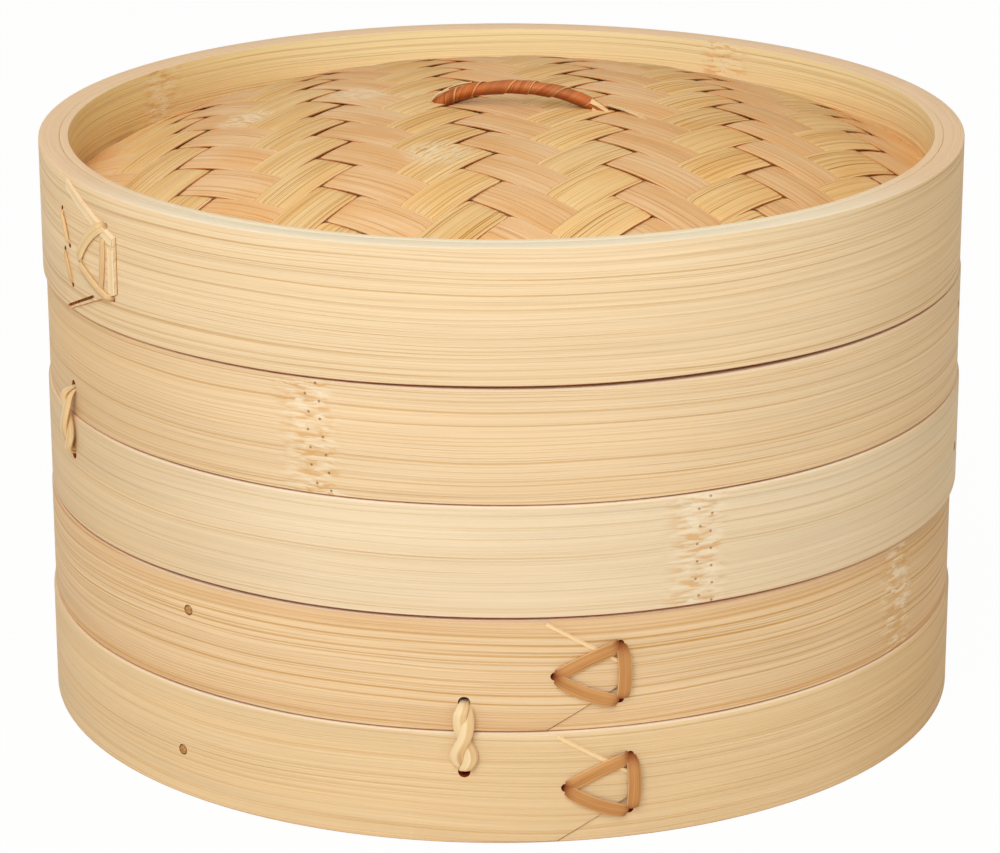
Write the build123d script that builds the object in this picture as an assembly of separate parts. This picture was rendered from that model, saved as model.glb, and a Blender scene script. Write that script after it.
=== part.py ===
from build123d import *
from math import atan2, ceil, cos, degrees, floor, hypot, pi, radians, sin, sqrt
import os

# A two-tier bamboo steamer with a woven domed lid, in millimetres.
# +Z is up and -Y faces the viewer. The origin is on the table, under the middle of the stack.
# Azimuths are degrees about +Z, counted from +X, and they grow to the right on the viewer's side.

# Hoops of a basket
RIM_R = 127.0  # outside radius of the rim hoop, which every other hoop follows
RIM_WALL = 6.4
RIM_HEIGHT = 30.7
FOOT_WALL = 5.6
FOOT_HEIGHT = 30.7
LINER_WALL = 2.2
SPIGOT_HEIGHT = 7.5  # how far the liner stands above the rim, to centre what is stacked on it
NEST_PLAY = 1.6  # radial room of a foot hoop round the liner of the basket below
GLUE_LINE = 0.2  # room between pieces that are glued, pegged or sprung together
TONGUE_SET_BACK = 0.6  # of the tongue from the hoop's upper and lower edges

# Overlap of a bent hoop: the outer end is thinned to a bevelled tongue
TONGUE_STEP = 0.8
TONGUE_RUN_OUT = 32.0  # degrees of arc over which the tongue sinks into the hoop
TONGUE_BEVEL = 19.0
TONGUE_END = 6.8
LID_TONGUE_BEVEL = 26.0
LID_TONGUE_END = 15.4

# Floor of a basket
FLOOR_RING_WALL = 2.4
FLOOR_RING_HEIGHT = 6.2
SPIGOT_HEADROOM = 1.6  # room over the spigot of the basket below
SLAT_COUNT = 9
SLAT_WIDTH = 20.0
SLAT_THICK = 2.6
SLAT_EDGE = 0.7  # chamfer of a slat's upper long edges
SLAT_MARGIN = 10.0  # from the outermost slat to the foot hoop's bore
SLAT_END_ROOM = 0.3
BAR_WIDTH = 12.0
BAR_HEIGHT = 5.0
FLOOR_AZIMUTH = 48.6  # direction of the crossbar

# Pegs, whittled to eight sides
PEG_R = 1.25
PEG_SIDES = 8
PEG_FIT = 0.15
PEG_PROUD = 0.15
PEG_DEPTH = 10.0  # of a foot peg in the crossbar
RIM_PEG_DROP = 8.5  # from the rim's upper edge
RIM_PEG_AZIMUTH = 49.9

# Lacing and ties of split cane
CANE_WIDTH = 2.8
CANE_THICK = 0.8
CANE_LIFT = 0.05  # between the cane and the tongue that it crosses
LEG_R = 0.9  # of the cane where it goes through a hoop
LEG_SIDES = 6
LEG_FIT = 0.3
HOLE_OVERRUN = 0.6  # by which the cutter of a hole outruns the wall
LACING_WIDTH = 17.0
LACING_HEIGHT = 15.0
RIM_LACING_AZIMUTH = -76.2  # of the upright stitch over the tongue's end
FOOT_LACING_AZIMUTH = -75.0
TIE_AZIMUTHS = {"front": -94.3, "back": 85.7}
TIE_SPAN = 19.4
TIE_RISE = 0.5  # how far above the seam the middle of a tie lies
TIE_WIDTH = 5.4
TIE_DEPTH = 2.2
TIE_TAPER = 12.0
TIE_OUTLINE = ((-0.5, 0.35), (-0.28, 1.0), (0.0, 0.72), (0.3, 0.9), (0.5, 0.35))  # along the span, width

# Lid
LID_PLAY = 1.1  # radial room of the lid hoop round the liner of the basket below
LID_WALL = 5.8
LID_HEIGHT = 36.6
LID_LINER_WALL = 2.1
LID_LACING_AZIMUTH = -142.4
LID_LACING_WIDTH = 17.0
LID_LACING_HEIGHT = 18.5
LID_STITCH_HEIGHT = 8.6
LID_STITCH_GAP = 1.9
LID_STITCH_AWAY = 25.5  # from the upright stitch to the pair of small ones

# Woven mat of the lid: a paraboloid of strips, two over and two under
MAT_SEAT = 22.0  # height of the mat's edge above the lid hoop's lower edge
DOME_RISE = 22.0
STRIP_PITCH = 13.1
STRIP_GAP = 1.6
STRIP_THICK = 0.8
STRIP_CLEAR = 0.18  # least room between a strip and the one that it crosses
WEAVE_AZIMUTH = -39.5  # direction of the strips that fall to the right; the others cross them squarely
WEAVE_SHIFT = (-1.3, -7.9)
MAT_CLEAR = 0.15
FLOAT_LENGTH = 2  # strips that a strip passes over, and then under

# Ribs under the mat
RIB_WIDTH = 14.0
RIB_THICK = 1.8
RIB_CLEAR = 0.3
RIB_AZIMUTHS = {"upper": 45.0, "lower": -45.0}

# Handle: a cane core on a circular arc, wound with one flat strip
HANDLE_PLACE = (4.9, -7.8)
HANDLE_TURN = -9.0
HANDLE_CURVE_R = 60.0
HANDLE_LIFT = 3.5  # of the core's axis above the mat's crown
HANDLE_SWEEP = 30.0  # degrees of arc from the top to each end of the core
CORE_R = 1.5
CORE_SIDES = 8
WRAP_CLEAR = 0.25
WRAP_THICK = 0.5
WRAP_WIDTH = 4.4
WRAP_LEAD = 5.2
WRAP_TURNS = 9
WRAP_SECTIONS = 12  # of a turn
HANDLE_ROOM = 0.3  # between the handle and the strips that it parts
HANDLE_END_ROOM = 2.0  # degrees of arc by which that room outruns the core

# How the tiers stand: each is turned, and sits a little off the middle within its play
LOWER_PLACE = (-0.4, 0.0)
UPPER_PLACE = (0.4, 119.0)
LID_PLACE = (-0.2, 0.0)

BOTTOM = (Align.CENTER, Align.CENTER, Align.MIN)

RIM_BORE = RIM_R - RIM_WALL
LINER_R = RIM_BORE - GLUE_LINE
LINER_BORE = LINER_R - LINER_WALL
FOOT_BORE = LINER_R + NEST_PLAY
FOOT_R = FOOT_BORE + FOOT_WALL
BASKET_HEIGHT = FOOT_HEIGHT + RIM_HEIGHT

FLOOR_RING_R = FOOT_BORE - GLUE_LINE
FLOOR_RING_BORE = FLOOR_RING_R - FLOOR_RING_WALL
FLOOR_RING_BASE = SPIGOT_HEIGHT + SPIGOT_HEADROOM
SLAT_BASE = FLOOR_RING_BASE + FLOOR_RING_HEIGHT
SLAT_TOP = SLAT_BASE + SLAT_THICK
SLAT_PITCH = (2 * (FOOT_BORE - SLAT_MARGIN) - SLAT_WIDTH) / (SLAT_COUNT - 1)
BAR_MIDDLE = SLAT_BASE - BAR_HEIGHT / 2
BAR_REACH = FLOOR_RING_BORE - GLUE_LINE

LID_BORE = LINER_R + LID_PLAY
LID_R = LID_BORE + LID_WALL
MAT_R = LID_BORE - GLUE_LINE
LID_LINER_BORE = MAT_R - LID_LINER_WALL
CURVATURE = DOME_RISE / MAT_R ** 2
STRIP_WIDTH = STRIP_PITCH - STRIP_GAP
FLOAT_SAG = CURVATURE * ((FLOAT_LENGTH * STRIP_PITCH - STRIP_GAP) / 2) ** 2  # a straight float under the dome
STRIP_LIFT = (STRIP_THICK + STRIP_CLEAR + FLOAT_SAG) / 2
MAT_HALF = STRIP_LIFT + STRIP_THICK / 2
CROWN = MAT_SEAT + DOME_RISE
WRAP_INSIDE = CORE_R + WRAP_CLEAR
WRAP_OUTSIDE = WRAP_INSIDE + WRAP_THICK


def ring(outside, bore, base, height):
    """A hoop of rectangular section."""
    hoop = Cylinder(outside, height, align=BOTTOM) - Cylinder(bore, height, align=BOTTOM)
    return Pos(0, 0, base) * hoop


def radial_plane(azimuth, radius, height):
    """A plane that faces outwards, with its x to the right and its y up as seen from outside."""
    turn = radians(azimuth)
    outward = Vector(cos(turn), sin(turn), 0)
    return Plane(outward * radius + Vector(0, 0, height), x_dir=(-sin(turn), cos(turn), 0), z_dir=outward)


def pin(azimuth, height, inner, outer, radius, sides):
    """A whittled pin along a radius of the stack."""
    return extrude(radial_plane(azimuth, inner, height) * RegularPolygon(radius, sides), outer - inner)


def tongue(outside, wall, base, height, azimuth, bevel, end):
    """The bevelled end of a bent strip, proud of the hoop at the azimuth and sinking into it leftwards."""
    half = height / 2 - TONGUE_SET_BACK
    lean = radians(azimuth - TONGUE_RUN_OUT + 90)
    shift = TONGUE_STEP / sin(radians(TONGUE_RUN_OUT))
    reach = outside * sin(radians(TONGUE_RUN_OUT)) + bevel
    upper = [(0, end / 2), (-bevel, half), (-reach, half)]
    lower = [(x, -y) for x, y in reversed(upper)]
    outline = Polyline(*upper, *lower, close=True)
    deep = outside - outside * cos(radians(TONGUE_RUN_OUT)) + bevel
    blank = extrude(radial_plane(azimuth, outside - deep, base + height / 2) * make_face(outline), 2 * deep)
    skin = Cylinder(outside, height, align=BOTTOM) - Cylinder(outside - wall / 2, height, align=BOTTOM)
    return (Pos(shift * cos(lean), shift * sin(lean), base) * skin) & blank


def bent_hoop(outside, bore, base, height, azimuth, bevel, end):
    """An outer hoop with the tongue of its overlap."""
    hoop = ring(outside, bore, base, height)
    return hoop + tongue(outside, outside - bore, base, height, azimuth, bevel, end)


def strap(start, end):
    """The outline of a flat run of cane between two holes."""
    across, up = end[0] - start[0], end[1] - start[1]
    turned = Rot(0, 0, degrees(atan2(up, across))) * Rectangle(hypot(across, up) + CANE_WIDTH, CANE_WIDTH)
    return Pos((start[0] + end[0]) / 2, (start[1] + end[1]) / 2) * turned


def lacing(points, azimuth, height, outside, bore, closed=True):
    """Cane stitched flat from hole to hole over a tongue, and the holes that the hoop needs for it."""
    inside = outside + TONGUE_STEP + CANE_LIFT
    ends = points[1:] + points[:1] if closed else points[1:]
    runs = Sketch() + [strap(a, b) for a, b in zip(points, ends)]
    cane = extrude(radial_plane(azimuth, inside, height) * runs, CANE_THICK)
    places = [(azimuth + degrees(atan2(x, inside)), height + y) for x, y in points]
    outer = inside + CANE_THICK / 2
    cane += [pin(a, z, bore + GLUE_LINE, outer, LEG_R, LEG_SIDES) for a, z in places]
    holes = [pin(a, z, bore - HOLE_OVERRUN, outer, LEG_R + LEG_FIT, LEG_SIDES) for a, z in places]
    return cane, holes


def triangle(width, height):
    """The three holes of a triangular lacing about its middle, with its upright side at the right."""
    return [(-width / 2, 0), (width / 2, height / 2), (width / 2, -height / 2)]


def tie(azimuth):
    """A thick twist of cane over the seam of a basket's hoops, and its holes in the two hoops."""
    seam = FOOT_HEIGHT + TIE_RISE
    inside = FOOT_R + TONGUE_STEP + CANE_LIFT
    right = [(wide * TIE_WIDTH / 2, along * TIE_SPAN) for along, wide in TIE_OUTLINE]
    left = [(-x, y) for x, y in reversed(right)]
    outline = radial_plane(azimuth, inside, seam) * make_face(Polyline(*right, *left, close=True))
    twist = extrude(outline, TIE_DEPTH, taper=TIE_TAPER)
    lower, upper = (seam + side * (TIE_SPAN / 2 - LEG_R) for side in (-1, 1))
    outer = inside + TIE_DEPTH / 2
    for height, bore in ((lower, FOOT_BORE), (upper, RIM_BORE)):
        twist += pin(azimuth, height, bore + GLUE_LINE, outer, LEG_R, LEG_SIDES)
    lower_hole = pin(azimuth, lower, FOOT_BORE - HOLE_OVERRUN, outer, LEG_R + LEG_FIT, LEG_SIDES)
    upper_hole = pin(azimuth, upper, RIM_BORE - HOLE_OVERRUN, outer, LEG_R + LEG_FIT, LEG_SIDES)
    return twist, lower_hole, upper_hole


def chord(radius, aside):
    """Half the width of a circle at a distance from its middle."""
    return sqrt(radius ** 2 - aside ** 2)


def floor_pieces():
    """The slats and the crossbar under them, before their pegs."""
    reach = FOOT_BORE - SLAT_END_ROOM
    pieces = {}
    for n in range(SLAT_COUNT):
        middle = (n - (SLAT_COUNT - 1) / 2) * SLAT_PITCH
        left, right = middle - SLAT_WIDTH / 2, middle + SLAT_WIDTH / 2
        far = [(x, chord(reach, x)) for x in (left, right)]
        near = [(x, -y) for x, y in reversed(far)]
        slat = Pos(0, 0, SLAT_BASE) * extrude(make_face(Polyline(*far, *near, close=True)), SLAT_THICK)
        slat = chamfer(slat.edges().filter_by(Axis.Y).group_by(Axis.Z)[-1], SLAT_EDGE)
        pieces[f"slat_{n + 1}"] = Rot(0, 0, FLOOR_AZIMUTH) * slat
    bar = Box(2 * chord(BAR_REACH, BAR_WIDTH / 2), BAR_WIDTH, BAR_HEIGHT)
    pieces["crossbar"] = Rot(0, 0, FLOOR_AZIMUTH) * Pos(0, 0, BAR_MIDDLE) * bar
    return pieces


def basket():
    """Every piece of one basket, standing on the origin and not turned."""
    rim_middle = FOOT_HEIGHT + RIM_HEIGHT / 2
    pieces = floor_pieces()
    foot = bent_hoop(FOOT_R, FOOT_BORE, 0, FOOT_HEIGHT, FOOT_LACING_AZIMUTH, TONGUE_BEVEL, TONGUE_END)
    rim = bent_hoop(RIM_R, RIM_BORE, FOOT_HEIGHT, RIM_HEIGHT, RIM_LACING_AZIMUTH, TONGUE_BEVEL, TONGUE_END)
    liner = ring(LINER_R, LINER_BORE, SLAT_TOP, BASKET_HEIGHT + SPIGOT_HEIGHT - SLAT_TOP)
    floor_ring = ring(FLOOR_RING_R, FLOOR_RING_BORE, FLOOR_RING_BASE, FLOOR_RING_HEIGHT)

    stitches = triangle(LACING_WIDTH, LACING_HEIGHT)
    azimuth = FOOT_LACING_AZIMUTH - degrees(LACING_WIDTH / 2 / FOOT_R)
    pieces["foot_lacing"], holes = lacing(stitches, azimuth, FOOT_HEIGHT / 2, FOOT_R, FOOT_BORE)
    foot -= holes
    azimuth = RIM_LACING_AZIMUTH - degrees(LACING_WIDTH / 2 / RIM_R)
    pieces["rim_lacing"], holes = lacing(stitches, azimuth, rim_middle, RIM_R, RIM_BORE)
    rim -= holes
    for side, azimuth in TIE_AZIMUTHS.items():
        pieces[f"tie_{side}"], lower_hole, upper_hole = tie(azimuth)
        foot -= lower_hole
        rim -= upper_hole

    foot_pegs, rim_pegs = [], []
    peg_height, hole_r = BASKET_HEIGHT - RIM_PEG_DROP, PEG_R + PEG_FIT
    for half_turn in (0, 180):
        azimuth, inner = FLOOR_AZIMUTH + half_turn, BAR_REACH - PEG_DEPTH
        foot_pegs.append(pin(azimuth, BAR_MIDDLE, inner, FOOT_R + PEG_PROUD, PEG_R, PEG_SIDES))
        hole = pin(azimuth, BAR_MIDDLE, inner - PEG_FIT, FOOT_R + HOLE_OVERRUN, hole_r, PEG_SIDES)
        foot -= hole
        floor_ring -= hole
        pieces["crossbar"] -= hole
        azimuth, inner = RIM_PEG_AZIMUTH + half_turn, LINER_BORE + GLUE_LINE
        rim_pegs.append(pin(azimuth, peg_height, inner, RIM_R + PEG_PROUD, PEG_R, PEG_SIDES))
        hole = pin(azimuth, peg_height, LINER_BORE - HOLE_OVERRUN, RIM_R + HOLE_OVERRUN, hole_r, PEG_SIDES)
        rim -= hole
        liner -= hole
    pieces["foot_pegs"] = Compound(children=foot_pegs)
    pieces["rim_pegs"] = Compound(children=rim_pegs)
    pieces.update(foot_hoop=foot, rim_hoop=rim, liner_hoop=liner, floor_ring=floor_ring)
    return pieces


def dome(distance):
    """Height of the middle of the mat at a distance from the lid's axis."""
    return CROWN - CURVATURE * distance ** 2


def crossing_rows(shift):
    """The strips of one family that reach into the mat: their numbers and their places across it."""
    first = ceil((STRIP_WIDTH / 2 - MAT_R - shift) / STRIP_PITCH)
    last = floor((MAT_R - STRIP_WIDTH / 2 - shift) / STRIP_PITCH)
    return {n: n * STRIP_PITCH + shift for n in range(first, last + 1)}


def strip(place, lifts):
    """One strip along X at a place across the mat; lifts gives 1 or -1 for each crossing along it."""
    half = STRIP_WIDTH / 2
    along = sorted(lifts)
    knots = [(along[0] - STRIP_PITCH, lifts[along[0]])]
    for here, after in zip(along, along[1:]):
        if lifts[here] != lifts[after]:
            knots += [(here + half, lifts[here]), (after - half, lifts[after])]
    knots.append((along[-1] + STRIP_PITCH, lifts[along[-1]]))
    middle = [(x, dome(hypot(x, place)) + lift * STRIP_LIFT) for x, lift in knots]
    upper = [(x, z + STRIP_THICK / 2) for x, z in middle]
    lower = [(x, z - STRIP_THICK / 2) for x, z in reversed(middle)]
    side = Plane.XZ * make_face(Polyline(*upper, *lower, close=True))
    lean = -2 * CURVATURE * place
    blank = extrude(side, hypot(STRIP_WIDTH, lean * STRIP_WIDTH), dir=(0, STRIP_WIDTH, lean * STRIP_WIDTH))
    return Pos(0, place - half, -lean * half) * blank


def mat(room):
    """The two families of strips, cut round and parted where the handle goes through."""
    rows, columns = crossing_rows(WEAVE_SHIFT[1]), crossing_rows(WEAVE_SHIFT[0])

    def lift(row, column):
        return 1 if (row + column) % (2 * FLOAT_LENGTH) < FLOAT_LENGTH else -1

    disc = Cylinder(MAT_R, CROWN + MAT_HALF + STRIP_PITCH, align=BOTTOM)
    falling = [
        Rot(0, 0, WEAVE_AZIMUTH) * (strip(y, {x: lift(row, column) for column, x in columns.items()}) & disc)
        for row, y in rows.items()
    ]
    rising = [
        Rot(0, 0, WEAVE_AZIMUTH + 90) * (strip(-x, {y: -lift(row, column) for row, y in rows.items()}) & disc)
        for column, x in columns.items()
    ]
    return [Compound(children=[piece - room for piece in family]) for family in (falling, rising)]


def rib(azimuth, drop):
    """A springy splint under the mat, on an arc that falls to the mat's underside at its ends."""
    end = chord(LID_LINER_BORE - GLUE_LINE, RIB_WIDTH / 2)
    under = MAT_HALF + FLOAT_SAG + RIB_CLEAR
    top, foot = CROWN - under - drop, dome(end) - under
    outline = Curve() + [
        ThreePointArc((-end, foot), (0, top), (end, foot)),
        Line((end, foot), (end, foot - RIB_THICK)),
        ThreePointArc((end, foot - RIB_THICK), (0, top - RIB_THICK), (-end, foot - RIB_THICK)),
        Line((-end, foot - RIB_THICK), (-end, foot)),
    ]
    return Rot(0, 0, azimuth) * extrude(Plane.XZ * make_face(outline), RIB_WIDTH / 2, both=True)


def handle_bar(radius, sweep):
    """A bar of whittled cane on the handle's arc, about the arc's centre."""
    section = Plane.YZ * Pos(0, HANDLE_CURVE_R) * RegularPolygon(radius, CORE_SIDES)
    bar = revolve(section, Axis.Y, 2 * sweep)
    return Rot(0, -sweep, 0) * bar


def wrap_frame(section):
    """Middle, direction along the arc and direction away from the core at one section of the winding."""
    turns = section / WRAP_SECTIONS
    arc = (turns - WRAP_TURNS / 2) * WRAP_LEAD / HANDLE_CURVE_R
    spin = 2 * pi * turns
    outward = Vector(sin(arc), 0, cos(arc))
    along = Vector(cos(arc), 0, -sin(arc))
    away = outward * cos(spin) + Vector(0, 1, 0) * sin(spin)
    return outward * HANDLE_CURVE_R + away * (WRAP_INSIDE + WRAP_OUTSIDE) / 2, along, away


def handle_wrap():
    """The flat strip wound round the core, one unbroken winding."""
    frames = [wrap_frame(n) for n in range(WRAP_TURNS * WRAP_SECTIONS + 1)]
    half = WRAP_WIDTH / 2
    edges = [(middle - along * half, middle + along * half) for middle, along, _ in frames]
    gap = min(
        (late[0] - early[1]).length
        for n, early in enumerate(edges)
        for late in edges[n + WRAP_SECTIONS // 2:]
    )
    print(f"least gap between the handle's turns: {gap:.2f} mm")
    sections = [
        Plane(middle, x_dir=along, z_dir=along.cross(away)) * Rectangle(WRAP_WIDTH, WRAP_THICK)
        for middle, along, away in frames
    ]
    return loft(sections, ruled=True)


def lid():
    """Every piece of the lid, with the lower edge of its hoop at the origin."""
    pieces = {}
    middle = LID_HEIGHT / 2
    hoop = bent_hoop(LID_R, LID_BORE, 0, LID_HEIGHT, LID_LACING_AZIMUTH, LID_TONGUE_BEVEL, LID_TONGUE_END)
    stitches = triangle(LID_LACING_WIDTH, LID_LACING_HEIGHT)
    azimuth = LID_LACING_AZIMUTH - degrees(LID_LACING_WIDTH / 2 / LID_R)
    cane, holes = lacing(stitches, azimuth, middle, LID_R, LID_BORE)
    stitched = [cane]
    hoop -= holes
    azimuth = LID_LACING_AZIMUTH - degrees(LID_STITCH_AWAY / LID_R)
    for side in (-1, 1):
        near = middle + side * LID_STITCH_GAP / 2
        points = [(0, side * CANE_WIDTH / 2), (0, side * LID_STITCH_HEIGHT)]
        cane, holes = lacing(points, azimuth, near, LID_R, LID_BORE, closed=False)
        stitched.append(cane)
        hoop -= holes
    pieces["hoop"] = hoop
    pieces["lacing"] = Compound(children=stitched)

    upper_base = dome(LID_LINER_BORE) + MAT_HALF + MAT_CLEAR
    lower_base = SPIGOT_HEIGHT + SPIGOT_HEADROOM
    lower_top = dome(MAT_R) - MAT_HALF - FLOAT_SAG - MAT_CLEAR
    pieces["upper_liner"] = ring(MAT_R, LID_LINER_BORE, upper_base, LID_HEIGHT - upper_base)
    pieces["lower_liner"] = ring(MAT_R, LID_LINER_BORE, lower_base, lower_top - lower_base)

    centre = CROWN + MAT_HALF + HANDLE_LIFT - HANDLE_CURVE_R
    place = Pos(*HANDLE_PLACE, centre) * Rot(0, 0, HANDLE_TURN)
    room = place * handle_bar(WRAP_OUTSIDE + HANDLE_ROOM, HANDLE_SWEEP + HANDLE_END_ROOM)
    pieces["falling_strips"], pieces["rising_strips"] = mat(room)
    drops = {"upper": 0, "lower": RIB_THICK + RIB_CLEAR}
    for name, azimuth in RIB_AZIMUTHS.items():
        pieces[f"{name}_rib"] = rib(azimuth, drops[name])
    pieces["handle_core"] = place * handle_bar(CORE_R, HANDLE_SWEEP)
    pieces["handle_wrap"] = place * handle_wrap()
    return pieces


os.makedirs("parts", exist_ok=True)
tier = basket()
stack = (
    ("lower", tier, LOWER_PLACE, 0),
    ("upper", tier, UPPER_PLACE, BASKET_HEIGHT),
    ("lid", lid(), LID_PLACE, 2 * BASKET_HEIGHT),
)
for name, pieces, (aside, turned), base in stack:
    place = Pos(aside, 0, base) * Rot(0, 0, turned)
    for piece, shape in pieces.items():
        export_step(Compound([place * solid for solid in shape.solids()]), f"parts/{name}_{piece}.step")
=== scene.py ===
import random
from math import atan2, cos, exp, pi, radians, sin, sqrt, tanh

import bpy
from bpy.props import FloatProperty, FloatVectorProperty, IntProperty, PointerProperty
from mathutils import Matrix, Vector


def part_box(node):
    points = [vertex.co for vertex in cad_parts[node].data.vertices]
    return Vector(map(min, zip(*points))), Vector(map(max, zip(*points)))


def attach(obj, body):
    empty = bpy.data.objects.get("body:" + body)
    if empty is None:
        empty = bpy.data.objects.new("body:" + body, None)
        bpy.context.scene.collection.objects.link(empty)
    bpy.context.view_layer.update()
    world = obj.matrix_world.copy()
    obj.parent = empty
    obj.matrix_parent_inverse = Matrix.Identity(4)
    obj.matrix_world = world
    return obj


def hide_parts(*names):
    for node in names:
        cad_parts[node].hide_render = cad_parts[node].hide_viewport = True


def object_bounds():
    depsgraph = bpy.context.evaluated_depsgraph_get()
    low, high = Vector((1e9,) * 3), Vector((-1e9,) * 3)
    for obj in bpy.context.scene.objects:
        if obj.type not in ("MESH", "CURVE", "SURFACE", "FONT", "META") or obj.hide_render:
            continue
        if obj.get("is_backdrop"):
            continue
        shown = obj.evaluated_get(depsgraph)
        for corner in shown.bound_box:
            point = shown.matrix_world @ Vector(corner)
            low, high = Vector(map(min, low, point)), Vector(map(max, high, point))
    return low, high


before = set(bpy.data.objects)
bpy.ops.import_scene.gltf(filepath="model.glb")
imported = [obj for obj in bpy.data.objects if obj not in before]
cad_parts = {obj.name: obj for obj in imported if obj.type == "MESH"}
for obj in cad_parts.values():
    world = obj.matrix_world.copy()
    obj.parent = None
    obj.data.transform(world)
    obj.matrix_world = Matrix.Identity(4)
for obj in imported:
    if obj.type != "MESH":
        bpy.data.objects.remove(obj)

bl_info = {
    "name": "Bamboo Steamer",
    "version": (1, 0, 0),
    "blender": (4, 5, 0),
    "location": "View3D > Sidebar > Steamer",
    "description": "Dresses a two-tier bamboo steamer with a woven lid around its fixed frame",
    "category": "Mesh",
}

CAD_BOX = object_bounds()
MM = 0.001
SMOOTH_ANGLE = radians(38)
SHARP_ANGLE = radians(50)  # from which on an edge is softened
MERGE = 1e-6
FIBRE = "fibre"  # UV map of a strip, in metres along and across it
BURNT = "burnt"  # attribute of a point, 1 where cane is scorched
SHEEN = 0.10  # specular level of dry bamboo
RELIEF = 0.12 * MM  # depth of the bamboo's fibres
WARMTH = (1.0, 0.94, 0.84)  # of a darker streak in the bamboo, per channel
SIDE_SHADE_TINT = (0.92, 0.85, 0.74)  # painted shade: tint that darkens bamboo towards the sides and the back, per channel
SIDE_SHADE_FROM_TO = ((-50.0, -110.0), (88.0, 118.0))  # where that begins and is full, left and right, in mm
TONGUE_SUNK = 0.4 * MM  # how deep the root of a tongue lies under the hoop's surface

# The three tiers: the body that carries each, and its turn about the upright axis
LOWER, UPPER, LID = "lower", "upper", "lid"
BODIES = {LOWER: "lower_basket", UPPER: "upper_basket", LID: "lid"}
TURNS = {LOWER: 0.0, UPPER: radians(119.0), LID: 0.0}

# Noise along the fibres: cells per metre along and across them, and detail
BROAD = (8.0, 70.0, 2.0)
STREAK = (5.0, 260.0, 2.0)
SILK = (7.0, 800.0, 2.0)
FINE = (16.0, 2600.0, 3.0)
RIND = (6.0, 420.0, 2.0)
CANE_FINE = (30.0, 3600.0, 3.0)
CANE_LINE = (18.0, 1300.0, 2.0)
CANE_BLOTCH = (55.0, 160.0, 2.0)
WOVEN_FINE = (26.0, 2400.0, 3.0)
WOVEN_PATCH = (30.0, 110.0, 2.0)
HATCH = (260.0, 1500.0, 2.0)

# Dark fibres side by side: spacing as a share of the bamboo's own, thickness in mm, cells per metre along
BAMBOO_THREADS = ((1.0, 0.26, 9.0), (2.7, 0.38, 5.0), (0.57, 0.15, 22.0))

# The same on a strip of the mat, with the spacing in mm
WOVEN_THREADS = ((0.75, 0.24, 16.0), (1.9, 0.30, 9.0))

# Worn spots of the mat: place in plan and reach, in mm
SCUFFS = ((-40.0, 10.0, 10.0), (-71.0, -2.0, 9.0), (-17.0, -51.0, 11.0))

# Bamboo of the hoops: strength of its veins and their spacing in mm, scars of the culm's joints (azimuth in
# degrees, lean and strength of the pores), how brown its rind is, and its painted shade at its left and right
BAMBOO = {
    "upper_rim": (0.72, 1.3, ((-111.7, -0.12, 1.0),), 0.0, (0.9, 0.4)),
    "upper_foot": (0.42, 1.6, ((-66.3, 0.0, 0.9),), 0.0, (1.0, 0.55)),
    "lower_rim": (0.95, 0.9, ((-32.3, -0.1, 0.0), (100.0, 0.0, 1.0)), 0.5, (0.3, 0.85)),
    "lower_foot": (0.5, 0.85, ((64.0, 0.1, 1.0),), 0.0, (0.0, 0.85)),
    "lid": (0.7, 0.95, ((20.0, 0.1, 1.0),), 0.0, (0.3, 0.65)),
    "liner": (0.45, 1.2, ((15.0, 0.0, 0.8),), 0.0, (0.0, 0.0)),
    "mat_hoop": (0.5, 1.1, ((56.9, 0.1, 0.3), (147.8, -0.1, 0.25)), 0.0, (0.9, 0.3)),
    "floor_ring": (0.4, 1.0, (), 0.0, (0.0, 0.0)),
}

# Gaps under the outer hoops: level all round and swell in mm, azimuth of the swell and its reach in degrees
SEAMS = {
    "lower_rim": (0.16, 0.12, -120.0, 40.0),
    "upper_rim": (0.25, 0.0, 0.0, 60.0),
    "upper_foot": (0.45, 0.4, -95.0, 60.0),
    "lid": (0.15, 0.85, -72.0, 48.0),
}

# Holes of the lid's lacing: place to the right of its azimuth and height above the hoop's middle, in mm
LID_HOLES = {
    "top": (-2.4, 9.9), "left": (-16.9, -2.7), "bottom": (0.2, -9.2),
    "upper_start": (-28.7, 8.6), "upper_end": (-23.6, -0.2),
    "lower_start": (-27.3, -2.1), "lower_end": (-22.3, -10.6),
}

# Split ends of the handle's core: start and end along the arc in mm, turn about it in degrees, distance from
# it and width in mm
FRAYS = (
    (-13.0, -26.0, 38.0, 2.40, 1.0),
    (-16.0, -25.0, 62.0, 2.35, 0.9),
    (-19.0, -26.5, -20.0, 2.40, 0.8),
    (20.0, 29.5, -55.0, 2.6, 1.6),
    (21.0, 31.0, -100.0, 3.2, 1.3),
)

# Light from all round: its tint, another at the right and from where to where it changes, and what is seen
EVEN_LIGHT = (1.0, 0.97, 0.92)
RIGHT_LIGHT = (1.0, 0.905, 0.69)
RIGHT_FROM_TO = (0.4, 0.95)
WHITE = (1.0, 1.0, 1.0)

# Soft square lights: place and width in metres
LAMPS = {
    "key": ((-0.45, -2.1, 1.75), 1.6),
    "fill": ((2.0, -1.5, 0.9), 1.6),
    "top": ((-0.4, -0.2, 2.4), 1.8),
}


def srgb(red, green, blue):
    """Scene-linear colour of a screen colour in 8-bit steps."""
    def linear(step):
        share = step / 255
        return share / 12.92 if share <= 0.04045 else ((share + 0.055) / 1.055) ** 2.4

    return linear(red), linear(green), linear(blue)


RIND_BROWN = srgb(214, 158, 96)
SCAR_BROWN = srgb(222, 166, 96)
SCAR_PALE = srgb(250, 236, 210)
PORE_BROWN = srgb(140, 88, 44)
# Painted shade on the faces of the hoops that look down
UNDERSIDE_SHADE = srgb(178, 92, 24)
SCORCHED = srgb(134, 52, 20)
# Painted shade line along the very edge of a strip of the mat
EDGE_SHADE_BROWN = srgb(204, 120, 42)
SCUFFED = srgb(250, 230, 192)


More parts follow.
